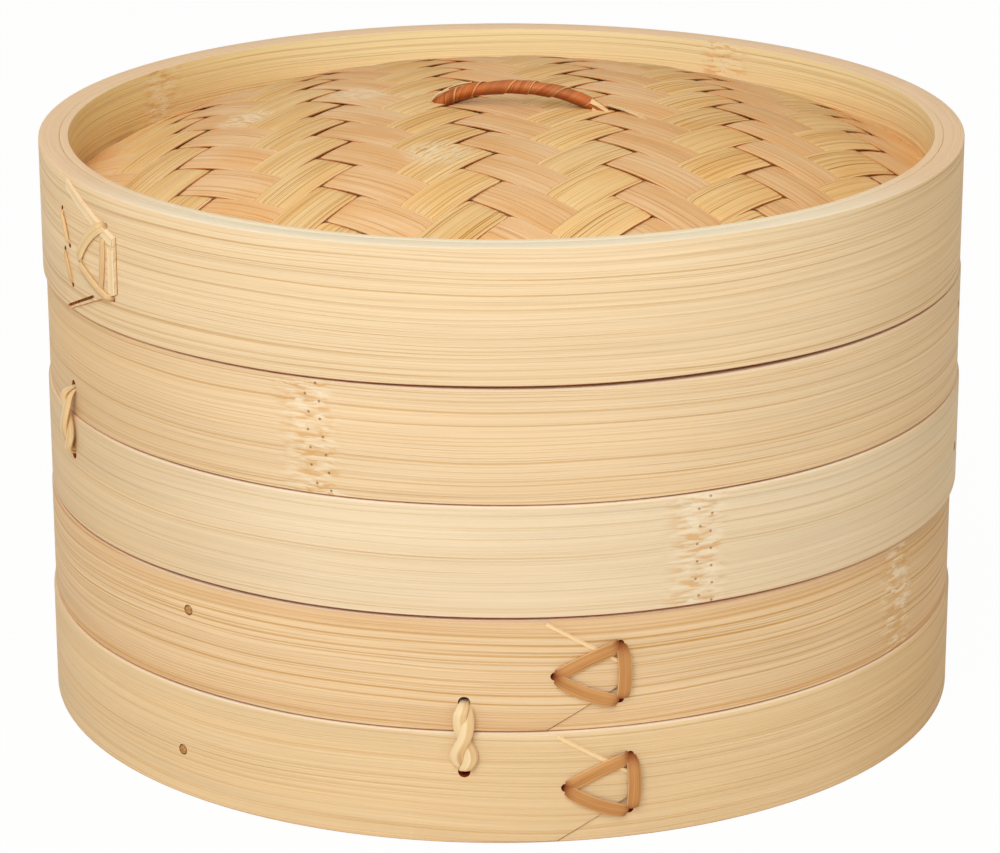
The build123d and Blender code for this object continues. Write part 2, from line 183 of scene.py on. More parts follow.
def aside(tier):
    """How far a tier stands off the upright axis, along X."""
    low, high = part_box(f"{tier}_hoop" if tier == LID else f"{tier}_liner_hoop")
    return (low[0] + high[0]) / 2


def span(node):
    """Lowest and highest point of a node."""
    low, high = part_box(node)
    return low[2], high[2]


def colour(name, description, red, green, blue):
    """A colour setting with its default as a screen colour."""
    default = srgb(red, green, blue)
    return FloatVectorProperty(
        name=name, description=description, subtype="COLOR", size=3, min=0, max=1, default=default,
    )


def length(name, description, millimetres):
    """A length setting with its default in millimetres."""
    return FloatProperty(name=name, description=description, unit="LENGTH", default=millimetres * MM)


def turn(name, description, degrees):
    """An angle setting with its default in degrees."""
    return FloatProperty(name=name, description=description, subtype="ANGLE", default=radians(degrees))


class HoopSettings(bpy.types.PropertyGroup):
    """Bent hoops and what is pegged and stitched to them."""

    rim_radius: length("Rim radius", "Outside of the rim hoop", 127.0)
    rim_bore: length("Rim bore", "Inside of the rim hoop", 120.6)
    foot_radius: length("Foot radius", "Outside of the foot hoop", 127.6)
    foot_bore: length("Foot bore", "Inside of the foot hoop", 122.0)
    lid_radius: length("Lid radius", "Outside of the lid hoop", 127.3)
    lid_bore: length("Lid bore", "Inside of the lid hoop", 121.5)
    low_edge: length("Lower edge", "Rounding of a hoop's lower edges", 0.35)
    rim_edge: length("Rim edge", "Rounding of a rim hoop's upper edges", 0.6)
    foot_edge: length("Foot edge", "Rounding of a foot hoop's upper edges", 1.0)
    lid_edge: length("Lid edge", "Rounding of the lid hoop's upper edges", 0.45)
    mat_sag: length("Mat sag", "How far the lid's lower inner hoop stays below the mat's sagging edge", 2.2)
    liner_wall: length("Liner wall", "Wall of a basket's liner hoop", 2.2)
    ring_wall: length("Ring wall", "Wall of a floor ring", 2.4)
    mat_hoop_wall: length("Mat hoop wall", "Wall of the lid's two inner hoops", 2.1)
    thin_edge: length("Thin edge", "Rounding of a thin inner hoop's edges", 0.3)
    steps: IntProperty(name="Steps", description="Segments of a hoop's turn", default=200, min=24)
    tongue_step: length("Tongue step", "How proud the end of a tongue stands", 0.8)
    tongue_reach: length("Tongue reach", "Length over which a tongue sinks into its hoop", 86.0)
    tongue_set_back: length("Tongue set back", "From a tongue to the hoop's edges", 0.6)
    tongue_bevel: length("Tongue bevel", "Length of the slanted end of a basket's tongue", 19.0)
    tongue_end: length("Tongue end", "Width of the end of a basket's tongue", 6.8)
    lid_tongue_bevel: length("Lid tongue bevel", "Length of the slanted end of the lid's tongue", 26.0)
    lid_tongue_end: length("Lid tongue end", "Width of the end of the lid's tongue", 15.4)
    rim_lacing: turn("Rim lacing", "Azimuth of the rim lacing's upright stitch", -76.2)
    foot_lacing: turn("Foot lacing", "Azimuth of the foot lacing's upright stitch", -75.0)
    lid_lacing: turn("Lid lacing", "Azimuth of the lid lacing's upright stitch", -142.4)
    tie: turn("Tie", "Azimuth of the front tie", -94.3)
    peg_radius: length("Peg radius", "Radius of a whittled peg", 1.25)
    foot_peg: length("Foot peg", "Length of a peg through the foot hoop into the crossbar", 16.0)
    rim_peg: length("Rim peg", "Length of a peg through the rim hoop and the liner", 8.0)
    rim_pegs: turn("Rim pegs", "Azimuth of the first rim peg", 49.9)
    floor: turn("Floor", "Azimuth of the crossbar and of the foot pegs in its ends", 48.6)
    lid_colour: colour("Lid", "Bamboo of the lid hoop", 244, 219, 181)
    upper_rim_colour: colour("Upper rim", "Bamboo of the upper rim hoop", 240, 214, 176)
    upper_foot_colour: colour("Upper foot", "Bamboo of the upper foot hoop", 237, 217, 185)
    lower_rim_colour: colour("Lower rim", "Bamboo of the lower rim hoop", 237, 209, 170)
    lower_foot_colour: colour("Lower foot", "Bamboo of the lower foot hoop", 232, 205, 163)
    inner_colour: colour("Inside", "Bamboo of the inner hoops", 254, 233, 184)
    liner_colour: colour("Liner", "Bamboo of the baskets' liners and floors", 251, 222, 170)
    vein_colour: colour("Veins", "Dark fibres of the bamboo", 204, 152, 78)
    # Upper faces of the hoops: pale sanded wood, with a painted highlight in front and painted shade at the
    # sides and the back
    sanded_lit_colour: colour("Sanded lit edge", "Pale sanded upper edges of the hoops, in front", 255, 240, 211)
    shaded_edge_colour: colour("Shaded edge", "Upper edges of the hoops at the sides and the back", 248, 213, 174)


class CaneSettings(bpy.types.PropertyGroup):
    """Lacing, stitches and ties of split cane."""

    width: length("Width", "Width of a lacing strip", 3.5)
    thickness: length("Thickness", "Thickness of a lacing strip", 0.7)
    lacing_width: length("Lacing width", "Width of a triangle of lacing", 17.0)
    lacing_height: length("Lacing height", "Height of a basket's triangle of lacing", 15.0)
    hole_radius: length("Hole radius", "Radius of a burnt hole of the lacing", 1.15)
    lid_hole_radius: length("Lid hole radius", "Radius of a hole of the lid's lacing", 0.8)
    tie_hole_radius: length("Tie hole radius", "Radius of a tie's hole", 1.6)
    tie_span: length("Tie span", "Height of a tie from hole to hole", 18.9)
    tie_rise: length("Tie rise", "Middle of a tie above the seam of the two hoops", -1.2)
    # The pale band along a tongue's edge is paler cut wood and a painted highlight
    cut_width: length("Cut width", "Width of the pale cut along a basket's tongue", 0.9)
    lid_cut_width: length("Lid cut width", "Width of the pale cut along the lid's tongue", 2.6)
    lacing_colour: colour("Lacing", "Tan cane of the baskets' lacing", 206, 148, 88)
    pale_colour: colour("Pale cane", "Straw-coloured cane of the ties and the lid's lacing", 240, 206, 152)
    hole_colour: colour("Burnt hole", "Scorched wall of a hole", 172, 74, 34)


class MatSettings(bpy.types.PropertyGroup):
    """The woven dome of the lid."""

    radius: length("Radius", "Radius of the mat under the inner hoop", 121.3)
    crown: length("Crown", "Height of the mat's crown above the lid hoop's lower edge", 42.8)
    rise: length("Rise", "Rise of the dome", 22.9)
    crown_aside: length("Crown aside", "How far the crown lies to the right of the lid's middle", 3.0)
    roundness: FloatProperty(name="Roundness", description="Power of the dome's profile", default=3.0)
    pitch: length("Pitch", "From strip to strip", 13.1)
    width: length("Width", "Width of a strip", 13.35)
    thickness: length("Thickness", "Thickness of a strip", 0.3)
    lift: length("Lift", "Half the height of the weave's waves", 0.36)
    pillow: length("Pillow", "How far a float bulges at its middle", 0.45)
    squeeze: length("Squeeze", "How much a strip narrows where it dives", 1.3)
    azimuth: turn("Azimuth", "Direction of the strips that fall to the right", -39.5)
    row_shift: length("Row shift", "Place of the first falling strip", -7.9)
    column_shift: length("Column shift", "Place of the first rising strip", -1.3)
    falling_colour: colour("Falling strips", "Pinkish strips that fall to the right", 248, 194, 132)
    rising_colour: colour("Rising strips", "Yellowish strips that rise to the right", 250, 201, 130)


class HandleSettings(bpy.types.PropertyGroup):
    """The wound cane handle of the lid."""

    place_x: length("Place X", "Middle of the handle", 4.9)
    place_y: length("Place Y", "Middle of the handle", -7.8)
    turned: turn("Turn", "Direction of the handle", -9.0)
    curve: length("Curve", "Radius of the handle's arc", 60.0)
    sweep: turn("Sweep", "Arc from the handle's top to each end", 30.0)
    core_radius: length("Core radius", "Radius of the cane core", 1.35)
    dip: length("Dip", "How far the arc's right end dips below a round arc", 1.9)
    plunge: length("Plunge", "How far the arc's left end dips, close to the mat", 3.4)
    reach: length("Reach", "From the handle's top to where it meets the mat", 25.4)
    lead: length("Lead", "From turn to turn of the winding, on the whole", 7.4)
    wander: length("Wander", "How far the turns stray from an even winding", 1.2)
    wrap_width: length("Wrap width", "Width of the winding's strip", 10.4)
    wrap_colour: colour("Wrap", "Red-brown cane of the winding", 208, 100, 20)


class StageSettings(bpy.types.PropertyGroup):
    """Floor, light and camera."""

    camera_back: length("Camera distance", "Camera in front of the upright axis", 1039.7)
    camera_height: length("Camera height", "Camera above the floor", 417.456)
    camera_pitch: turn("Camera pitch", "How far the camera looks down", 18.433)
    camera_roll: turn("Camera roll", "Roll of the camera", -0.0934)
    focal: FloatProperty(name="Focal length", description="For a sensor 36 mm wide", default=139.05)
    shift: FloatProperty(name="Shift", description="Sideways shift of the picture", default=-0.0026)
    ambient: FloatProperty(name="Ambient", description="Light from all round", default=0.38)
    key: FloatProperty(name="Key", description="Level of the main light", default=0.545)
    fill: FloatProperty(name="Fill", description="Level of the light from the right", default=0.03)
    top: FloatProperty(name="Top", description="Level of the light from above", default=0.17)
    floor_colour: colour("Floor", "Warm white floor", 250, 243, 231)


def choose(piece):
    """Leaves one piece selected and active."""
    bpy.ops.object.select_all(action="DESELECT")
    piece.select_set(True)
    bpy.context.view_layer.objects.active = piece


def primitive(kind, name, stretch=(1, 1, 1), **shape):
    """A new primitive, stretched along its own axes, with its place in its mesh."""
    bpy.ops.object.select_all(action="DESELECT")
    getattr(bpy.ops.mesh, f"primitive_{kind}_add")(**shape)
    piece = bpy.context.active_object
    piece.name = name
    piece.data.name = name
    piece.scale = stretch
    bpy.ops.object.transform_apply(location=True, rotation=True, scale=True)
    return piece


def modify(piece, kind, **settings):
    """Adds a modifier and applies it."""
    choose(piece)
    modifier = piece.modifiers.new(kind.lower(), kind)
    for name, value in settings.items():
        setattr(modifier, name, value)
    bpy.ops.object.modifier_apply(modifier=modifier.name)


def thicken(piece, thickness, offset=0.0):
    """Gives a sheet its thickness."""
    modify(piece, "SOLIDIFY", thickness=thickness, offset=offset)


def soften(piece, width, segments=2):
    """Takes the sharpness off a piece's edges."""
    modify(piece, "BEVEL", width=width, segments=segments, limit_method="ANGLE", angle_limit=SHARP_ANGLE)


def join(name, pieces):
    """Joins pieces into one."""
    choose(pieces[0])
    for piece in pieces[1:]:
        piece.select_set(True)
    if len(pieces) > 1:
        bpy.ops.object.join()
    joined = bpy.context.view_layer.objects.active
    joined.name = name
    joined.data.name = name
    return joined


def close_up(piece):
    """Merges doubled points and turns every face outwards."""
    choose(piece)
    bpy.ops.object.mode_set(mode="EDIT")
    bpy.ops.mesh.select_all(action="SELECT")
    bpy.ops.mesh.remove_doubles(threshold=MERGE)
    bpy.ops.mesh.normals_make_consistent(inside=False)
    bpy.ops.object.mode_set(mode="OBJECT")


def coat(piece, finish):
    """Gives a piece one finish."""
    piece.data.materials.clear()
    piece.data.materials.append(finish)


def dress(piece, tier, slot, finish, *nodes):
    """Gives a piece its finish, unless it has its own, and its place in the frame."""
    choose(piece)
    bpy.ops.object.shade_smooth_by_angle(angle=SMOOTH_ANGLE)
    if finish:
        coat(piece, finish)
    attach(piece, BODIES[tier])
    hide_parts(*nodes)


def laid(name, place, steps, lanes, run, wide, start=0.0):
    """A sheet whose points place(along, across) lays, from 0 to 1 and from -0.5 to 0.5.

    Its UV map is in metres along, from a start on, and across."""
    piece = primitive("grid", name, x_subdivisions=steps, y_subdivisions=lanes, size=1)
    mesh = piece.data
    flat = [(vertex.co.x + 0.5, vertex.co.y) for vertex in mesh.vertices]
    for vertex, (along, across) in zip(mesh.vertices, flat):
        vertex.co = place(along, across)
    fibre = mesh.uv_layers.active
    fibre.name = FIBRE
    for loop in mesh.loops:
        along, across = flat[loop.vertex_index]
        fibre.data[loop.index].uv = (start + along * run, across * wide)
    return piece


def on_hoop(radius, azimuth, middle, right, up, out):
    """A point on a hoop: a way to the right of an azimuth, a height and a way out of its outside."""
    angle = azimuth + right / radius
    return Vector((middle + (radius + out) * cos(angle), (radius + out) * sin(angle), up))


class Tree:
    """A node tree, laid node by node."""

    def __init__(self, tree):
        self.nodes = tree.nodes
        self.links = tree.links

    def feed(self, socket, value):
        """Sets a socket, or links another one to it."""
        if isinstance(value, bpy.types.NodeSocket):
            self.links.new(value, socket)
        elif value is not None:
            socket.default_value = value

    def add(self, kind, *values, output=0, **settings):
        """A node with its inputs in order; returns one of its outputs."""
        node = self.nodes.new(f"ShaderNode{kind}")
        for name, value in settings.items():
            setattr(node, name, value)
        for socket, value in zip(node.inputs, values):
            self.feed(socket, value)
        return node.outputs[output]

    def math(self, operation, first, second=None):
        """One step of arithmetic."""
        return self.add("Math", first, second, operation=operation)

    def times(self, first, second):
        """The product of two values."""
        return self.math("MULTIPLY", first, second)

    def plus(self, first, second):
        """The sum of two values."""
        return self.math("ADD", first, second)

    def minus(self, first, second):
        """The difference of two values."""
        return self.math("SUBTRACT", first, second)

    def larger(self, first, second):
        """The larger of two values."""
        return self.math("MAXIMUM", first, second)

    def distance(self, first, second):
        """How far a place is from the origin of a plane."""
        return self.math("SQRT", self.plus(self.times(first, first), self.times(second, second)))

    def ranged(self, value, low, high, first=0.0, last=1.0):
        """A value mapped from one range to another, and held within it."""
        return self.add("MapRange", value, low, high, first, last)

    def drawn(self, number):
        """The fixed random share that belongs to a whole number."""
        return self.add("TexWhiteNoise", None, number, noise_dimensions="1D")

    def noise(self, vector, detail=2.0, rough=0.5):
        """Smooth noise, one cell for each unit of a vector."""
        return self.add("TexNoise", vector, None, 1.0, detail, rough)

    def split(self, vector):
        """The three parts of a vector."""
        node = self.nodes.new("ShaderNodeSeparateXYZ")
        self.links.new(vector, node.inputs[0])
        return node.outputs

    def mix(self, share, first, second, blend="MIX"):
        """Two colours mixed by a share of the second."""
        node = self.nodes.new("ShaderNodeMix")
        node.data_type = "RGBA"
        node.blend_type = blend
        for index, value in ((0, share), (6, first), (7, second)):
            ready = isinstance(value, (int, float, bpy.types.NodeSocket))
            self.feed(node.inputs[index], value if ready else (*value, 1.0))
        return node.outputs[2]

    def tint(self, base, value, low, high, share, tone, blend="MIX"):
        """A colour with a tone mixed in, up to a share, as a value goes from low to high."""
        return self.mix(self.ranged(value, low, high, 0.0, share), base, tone, blend)


class Finish(Tree):
    """A procedural material of a surface."""

    def __init__(self, name, roughness, sheen=SHEEN):
        self.material = bpy.data.materials.new(name)
        self.material.use_nodes = True
        super().__init__(self.material.node_tree)
        self.shader = self.nodes["Principled BSDF"]
        self.shader.inputs["Roughness"].default_value = roughness
        self.shader.inputs["Specular IOR Level"].default_value = sheen

    def specks(self, cells):
        """Even noise in so many cells per metre."""
        return self.noise(self.add("Mapping", self.place(), None, None, (cells, cells, cells)))

    def place(self):
        """Where a point is, in the object's own coordinates."""
        return self.add("TexCoord", output=3)

    def facing_up(self):
        """How much a surface looks up, from -1 to 1."""
        return self.split(self.add("TexCoord", output=1))[2]

    def strip(self):
        """Where a point is along a strip and across it."""
        along, across, _ = self.split(self.add("UVMap", uv_map=FIBRE))
        return along, across

    def done(self, tone, height=None, distance=0.0, roughness=None):
        """Links colour, bump and roughness to the shader."""
        self.feed(self.shader.inputs["Base Color"], tone)
        if height is not None:
            bump = self.nodes.new("ShaderNodeBump")
            bump.inputs["Distance"].default_value = distance
            self.feed(bump.inputs["Height"], height)
            self.links.new(bump.outputs["Normal"], self.shader.inputs["Normal"])
        if roughness is not None:
            self.feed(self.shader.inputs["Roughness"], roughness)
        return self.material


def shade(tone, factor):
    """A colour made lighter or darker."""
    return tuple(min(1.0, part * factor) for part in tone)


def fibres(finish, along_x, along_y, across, along, crosswise, detail):
    """Noise drawn out along the fibres, in cells per metre along and across them."""
    scales = ((along_x, along), (along_y, along), (across, crosswise))
    cell = finish.add("CombineXYZ", *(finish.times(part, cells) for part, cells in scales))
    return finish.noise(cell, detail)


def threads(finish, x, y, across, spacing, thick, along):
    """Dark fibres side by side: each has its own place and strength, and fades in and out along its run."""
    full = 0.35  # share of a fibre's thickness that is fully dark
    second_draw, apart = 0.37, 3.7  # from a fibre's place to its strength, and between fibres that fade
    step = finish.math("DIVIDE", across, spacing)
    number = finish.math("FLOOR", step)
    place = finish.ranged(finish.drawn(number), 0.0, 1.0, 0.25, 0.75)
    away = finish.math("ABSOLUTE", finish.minus(finish.math("FRACT", step), place))
    line = finish.ranged(away, full * thick / spacing, thick / spacing, 1.0, 0.0)
    strength = finish.ranged(finish.drawn(finish.plus(number, second_draw)), 0.15, 1.0)
    fading = fibres(finish, x, y, finish.times(number, apart), along, 1.0, 1.0)
    strength = finish.times(strength, finish.ranged(fading, 0.36, 0.60, 0.15, 1.0))
    return finish.times(line, strength)


def grain(finish, x, y, across, tone, vein, veins, spacing):
    """Colour and height of split bamboo whose fibres lie side by side along the third coordinate."""
    hair_strength, sunk = 0.7, 0.6
    scales = (BROAD, STREAK, SILK, FINE)
    broad, streak, silk, fine = (fibres(finish, x, y, across, *cells) for cells in scales)
    close, wide, hair = (
        threads(finish, x, y, across, share * spacing, thick * MM, cells)
        for share, thick, cells in BAMBOO_THREADS
    )
    line = finish.larger(finish.larger(close, wide), finish.times(hair, hair_strength))
    warm = [part * dim for part, dim in zip(tone, WARMTH)]
    base = finish.mix(finish.ranged(broad, 0.36, 0.64), shade(tone, 1.05), shade(tone, 0.94))
    base = finish.tint(base, streak, 0.45, 0.70, 0.5, warm)
    base = finish.tint(base, silk, 0.42, 0.66, 0.34, shade(tone, 0.82))
    base = finish.tint(base, fine, 0.36, 0.64, 0.45, shade(tone, 1.15))
    base = finish.mix(finish.times(line, veins), base, vein)
    return base, finish.minus(fine, finish.times(line, sunk)), fine


def pores(finish, along, level, place, phase):
    """One column of a scar's pores."""
    rows, size, stray = 4.7 * MM, 0.45 * MM, 0.7 * MM
    step = finish.plus(finish.math("DIVIDE", level, rows), phase)
    jitter = finish.drawn(finish.plus(finish.math("FLOOR", step), phase))
    sideways = finish.minus(along, finish.ranged(jitter, 0.0, 1.0, place - stray, place + stray))
    upright = finish.times(finish.minus(finish.math("FRACT", step), 0.5), rows)
    return finish.ranged(finish.distance(sideways, upright), size, size / 2)


def scar(finish, position, height, azimuth, lean, dots):
    """A culm joint's scar on a hoop, about a height: masks of its band and pores, and its noise's cells."""
    faded, full, longer = 7.5 * MM, 2.5 * MM, -0.6  # where a scar ends and is full, and its longer left side
    columns = ((-1.9 * MM, 0.1), (2.0 * MM, 0.45))
    cells_along, cells_up = 170.0, 800.0
    outward, aslant, up = finish.split(finish.add("Mapping", position, None, (0.0, 0.0, -azimuth)))
    level = finish.minus(up, height)
    along = finish.minus(aslant, finish.times(level, lean))
    here = finish.math("GREATER_THAN", outward, 0.0)
    reach = finish.larger(along, finish.times(along, longer))
    band = finish.times(here, finish.ranged(reach, faded, full))
    left, right = (pores(finish, along, level, place, phase) for place, phase in columns)
    cell = finish.add(
        "CombineXYZ", finish.times(along, cells_along), finish.times(level, cells_up), azimuth,
    )
    return band, finish.times(finish.larger(left, right), finish.times(here, dots)), cell


def hoop_bamboo(name, hoops, tone, height, veins, spacing, scars, rind, side_shade):
    """Split bamboo bent round the upright axis, with the scars of the culm's joints, sanded upper edges that
    carry a painted highlight in front and painted shade at the sides and the back, and painted shade on faces
    that look down.

    height is the hoop's middle, rind how much browner the hoop is towards its edges, and the last argument
    how much painted shade darkens it at its left and at its right."""
    roughness = 0.55
    sway_cells, swayed, bent = (7.0, 7.0, 22.0), 5.0 * MM, 3.0 * MM  # of the fibres, and more of it in a scar
    # the second pair: where the upper faces go from painted highlight in front to painted shade at the back,
    # along Y
    rind_from_to, lit_front_from_to = (8.5 * MM, 15.0 * MM), (-58.0 * MM, -100.0 * MM)
    finish = Finish(name, roughness)
    position = finish.place()
    x, y, z = finish.split(position)
    wander = finish.noise(finish.add("Mapping", position, None, None, sway_cells))
    sway = finish.times(finish.minus(wander, 0.5), swayed)
    across = finish.plus(finish.plus(z, finish.distance(x, y)), sway)
    marks = []
    for degrees, lean, dots in scars:
        band, holes, cell = scar(finish, position, height, radians(degrees), lean, dots)
        dash = finish.noise(cell)
        shift = finish.times(finish.minus(dash, 0.5), bent)
        across = finish.plus(across, finish.times(shift, band))
        marks.append((band, holes, dash))
    base, bumps, fine = grain(finish, x, y, across, tone, hoops.vein_colour, veins, spacing * MM)
    # painted shade: the hoop grows darker and more golden towards its left and its right
    for share, (start, end) in zip(side_shade, SIDE_SHADE_FROM_TO):
        base = finish.tint(base, x, start * MM, end * MM, share, SIDE_SHADE_TINT, "MULTIPLY")
    if rind:
        from_middle = finish.math("ABSOLUTE", finish.minus(z, height))
        streak = finish.ranged(fibres(finish, x, y, across, *RIND), 0.3, 0.6)
        share = finish.times(finish.ranged(from_middle, *rind_from_to), streak)
        base = finish.mix(finish.times(share, rind), base, RIND_BROWN)
    for band, holes, dash in marks:
        base = finish.mix(finish.times(band, finish.ranged(dash, 0.52, 0.62, 0.0, 0.6)), base, SCAR_BROWN)
        base = finish.mix(finish.times(band, finish.ranged(dash, 0.48, 0.38, 0.0, 0.6)), base, SCAR_PALE)
        base = finish.mix(finish.times(holes, 0.75), base, PORE_BROWN)
        bumps = finish.minus(bumps, holes)
    facing = finish.facing_up()
    # upper faces: pale sanded wood, painted paler in front as a painted highlight and darker at the sides and
    # the back as painted shade
    edge = finish.mix(finish.ranged(y, *lit_front_from_to), hoops.shaded_edge_colour, hoops.sanded_lit_colour)
    base = finish.tint(base, facing, 0.5, 0.9, 0.9, edge)
    # painted shade: faces that look down, as in the seams, are darkened to a warm brown
    base = finish.tint(base, facing, -0.25, -0.65, 0.95, UNDERSIDE_SHADE)
    return finish.done(base, bumps, RELIEF, finish.ranged(fine, 0.3, 0.7, roughness - 0.05, roughness + 0.08))


def straight_bamboo(name, tone, vein, azimuth):
    """Split bamboo whose fibres lie flat, along an azimuth."""
    roughness, veins, spacing = 0.5, 0.35, 1.05 * MM
    finish = Finish(name, roughness)
    x, y, z = finish.split(finish.add("Mapping", finish.place(), None, (0.0, 0.0, -azimuth)))
    base, height, _ = grain(finish, x, z, finish.plus(y, z), tone, vein, veins, spacing)
    return finish.done(base, height, RELIEF)


def cane(
    name, tone, dark, pale, half_width,
    gloss=0.42, sheen=SHEEN, lines=0.45, blotches=0.4, edge_from=0.78, shade_below=0.0,
):
    """Flat cane with its fibres along the strip's own UV map, paler edges that are partly cut cane and partly
    a painted highlight, and painted shade on faces that look down, if asked for.
    """
    relief, edge_to, edge_share, burnt_share = 0.10 * MM, 0.98, 0.75, 0.9
    finish = Finish(name, gloss, sheen)
    along, across = finish.strip()
    from_middle = finish.math("ABSOLUTE", across)
    fine = fibres(finish, along, 0.0, across, *CANE_FINE)
    line = fibres(finish, along, 0.37, across, *CANE_LINE)
    blotch = fibres(finish, along, 0.71, across, *CANE_BLOTCH)
    base = finish.tint(tone, blotch, 0.38, 0.66, blotches, shade(dark, 1.15))
    base = finish.tint(base, line, 0.50, 0.68, lines, dark)
    base = finish.tint(base, fine, 0.40, 0.66, 0.30, pale)
    # paler edges: paler cut cane and a painted highlight
    base = finish.tint(base, from_middle, half_width * edge_from, half_width * edge_to, edge_share, pale)
    burnt = finish.add("Attribute", output=2, attribute_name=BURNT)
    base = finish.mix(finish.times(burnt, burnt_share), base, SCORCHED)
    # painted shade: faces that look down are darkened
    if shade_below:
        base = finish.tint(base, finish.facing_up(), 0.25, -0.45, shade_below, shade(dark, 0.6))
    return finish.done(base, finish.plus(fine, line), relief)


def woven(name, tone, dark, pale, half_width, lines):
    """A split strip of the mat: fibres along it, a tint of its own, painted highlights and a thin painted
    shade line along its edges, painted shade towards its right and back, and worn spots.
    """
    roughness, apart = 0.5, 0.0713  # apart keeps the fibres of one strip from going on in the next
    # where painted shade darkens the mat towards its right and its back, and how far
    shaded_right, shaded_back = (25 * MM, 95 * MM, 0.0, 0.8), (15 * MM, 70 * MM, 0.0, 0.75)
    highlight_from, highlight_to, shade_line_from, shade_line_to = (half_width * share for share in (0.90, 0.95, 0.978, 0.996))
    finish = Finish(name, roughness)
    along, across = finish.strip()
    number = finish.math("ROUND", along)
    shifted = finish.plus(across, finish.times(number, apart))
    from_middle = finish.math("ABSOLUTE", across)
    fine = fibres(finish, along, 0.0, across, *WOVEN_FINE)
    patch = fibres(finish, along, 0.71, shifted, *WOVEN_PATCH)
    close, wide = (
        threads(finish, along, number, shifted, spacing * MM, thick * MM, cells)
        for spacing, thick, cells in WOVEN_THREADS
    )
    line = finish.larger(close, wide)
    base = finish.mix(finish.drawn(number), shade(tone, 0.91), shade(tone, 1.05))
    base = finish.tint(base, patch, 0.36, 0.66, 0.6, pale)
    base = finish.tint(base, fine, 0.38, 0.66, 0.34, shade(tone, 0.84))
    base = finish.mix(finish.times(line, lines), base, dark)
    # painted highlight along the strip's edges, and a thin painted shade line at their very edge
    base = finish.tint(base, from_middle, highlight_from, highlight_to, 0.55, pale)
    base = finish.tint(base, from_middle, shade_line_from, shade_line_to, 0.75, EDGE_SHADE_BROWN)
    x, y, _ = finish.split(finish.place())
    # painted shade: the mat grows darker towards its right and its back
    painted_dark = finish.larger(finish.ranged(x, *shaded_right), finish.ranged(y, *shaded_back))
    base = finish.mix(painted_dark, base, SIDE_SHADE_TINT, "MULTIPLY")
    hatch = finish.ranged(fibres(finish, along, 0.23, across, *HATCH), 0.42, 0.58, 0.0, 0.85)
    for middle_x, middle_y, reach in SCUFFS:
        away = finish.distance(finish.minus(x, middle_x * MM), finish.minus(y, middle_y * MM))
        worn = finish.ranged(away, reach * MM, reach * MM / 2)
        base = finish.mix(finish.times(worn, hatch), base, SCUFFED)
    return finish.done(base, finish.minus(fine, line), RELIEF)


def char_and_shade(name, tone):
    """Darkened bamboo with sooty specks, for the scorched wall of a burnt hole and for painted shade in a
    groove.
    """
    roughness, soot_cells, relief = 0.8, 900.0, 0.1 * MM
    finish = Finish(name, roughness)
    soot = finish.specks(soot_cells)
    base = finish.mix(finish.ranged(soot, 0.35, 0.65), shade(tone, 0.6), shade(tone, 1.3))
    return finish.done(base, soot, relief)


def round_corners(piece, height, edge):
    """Rounds the two corners of a section that lie at a height."""
    for part in (piece.data.vertices, piece.data.edges, piece.data.polygons):
        part.foreach_set("select", [False] * len(part))
    for vertex in piece.data.vertices:
        vertex.select = abs(vertex.co.z - height) < MERGE
    bpy.ops.object.mode_set(mode="EDIT")
    bpy.ops.mesh.bevel(offset=edge, offset_type="OFFSET", segments=3, affect="VERTICES")
    bpy.ops.object.mode_set(mode="OBJECT")


def spun_hoop(name, bore, outside, base, top, middle, edges, steps, gap=None):
    """A bent hoop: its section is drawn beside the axis, rounded at its corners and spun round.

    edges holds the rounding below and above, and gap gives how far the lower edge stands off its seat."""
    section = (middle + (bore + outside) / 2, 0, (base + top) / 2)
    size = (outside - bore, top - base, 1)
    piece = primitive("plane", name, size=1, location=section, rotation=(pi / 2, 0, 0), stretch=size)
    round_corners(piece, base, edges[0])
    round_corners(piece, top, edges[1])
    bpy.ops.object.mode_set(mode="EDIT")
    bpy.ops.mesh.select_all(action="SELECT")
    bpy.ops.mesh.delete(type="ONLY_FACE")
    bpy.ops.mesh.select_all(action="SELECT")
    bpy.ops.mesh.spin(steps=steps, angle=2 * pi, center=(middle, 0, 0), axis=(0, 0, 1))
    bpy.ops.object.mode_set(mode="OBJECT")
    close_up(piece)
    if gap:
        for vertex in piece.data.vertices:
            if vertex.co.z < base + 2 * edges[0]:
                vertex.co.z += gap(atan2(vertex.co.y, vertex.co.x - middle))
    return piece


def seam(level, swell, azimuth, reach):
    """How a hoop's lower edge stands off its seat: a level all round, and a swell about an azimuth."""
    ripples = ((0.06, 5, 0.0), (0.05, 11, 1.0))  # height in mm, waves round the hoop, phase

    def gap(here):
        away = (here - radians(azimuth) + pi) % (2 * pi) - pi
        ripple = sum(tall * sin(waves * here + phase) for tall, waves, phase in ripples)
        return max(0.0, level + swell * exp(-(away / radians(reach)) ** 2) + ripple) * MM

    return gap


def tongue_surface(hoops):
    """How far a tongue stands out of its hoop, as a function of the place to the right of its end."""
    reach, step, sunk = hoops.tongue_reach, hoops.tongue_step, TONGUE_SUNK

    def out(right):
        return (step + sunk) * (1 + right / reach) - sunk

    return out


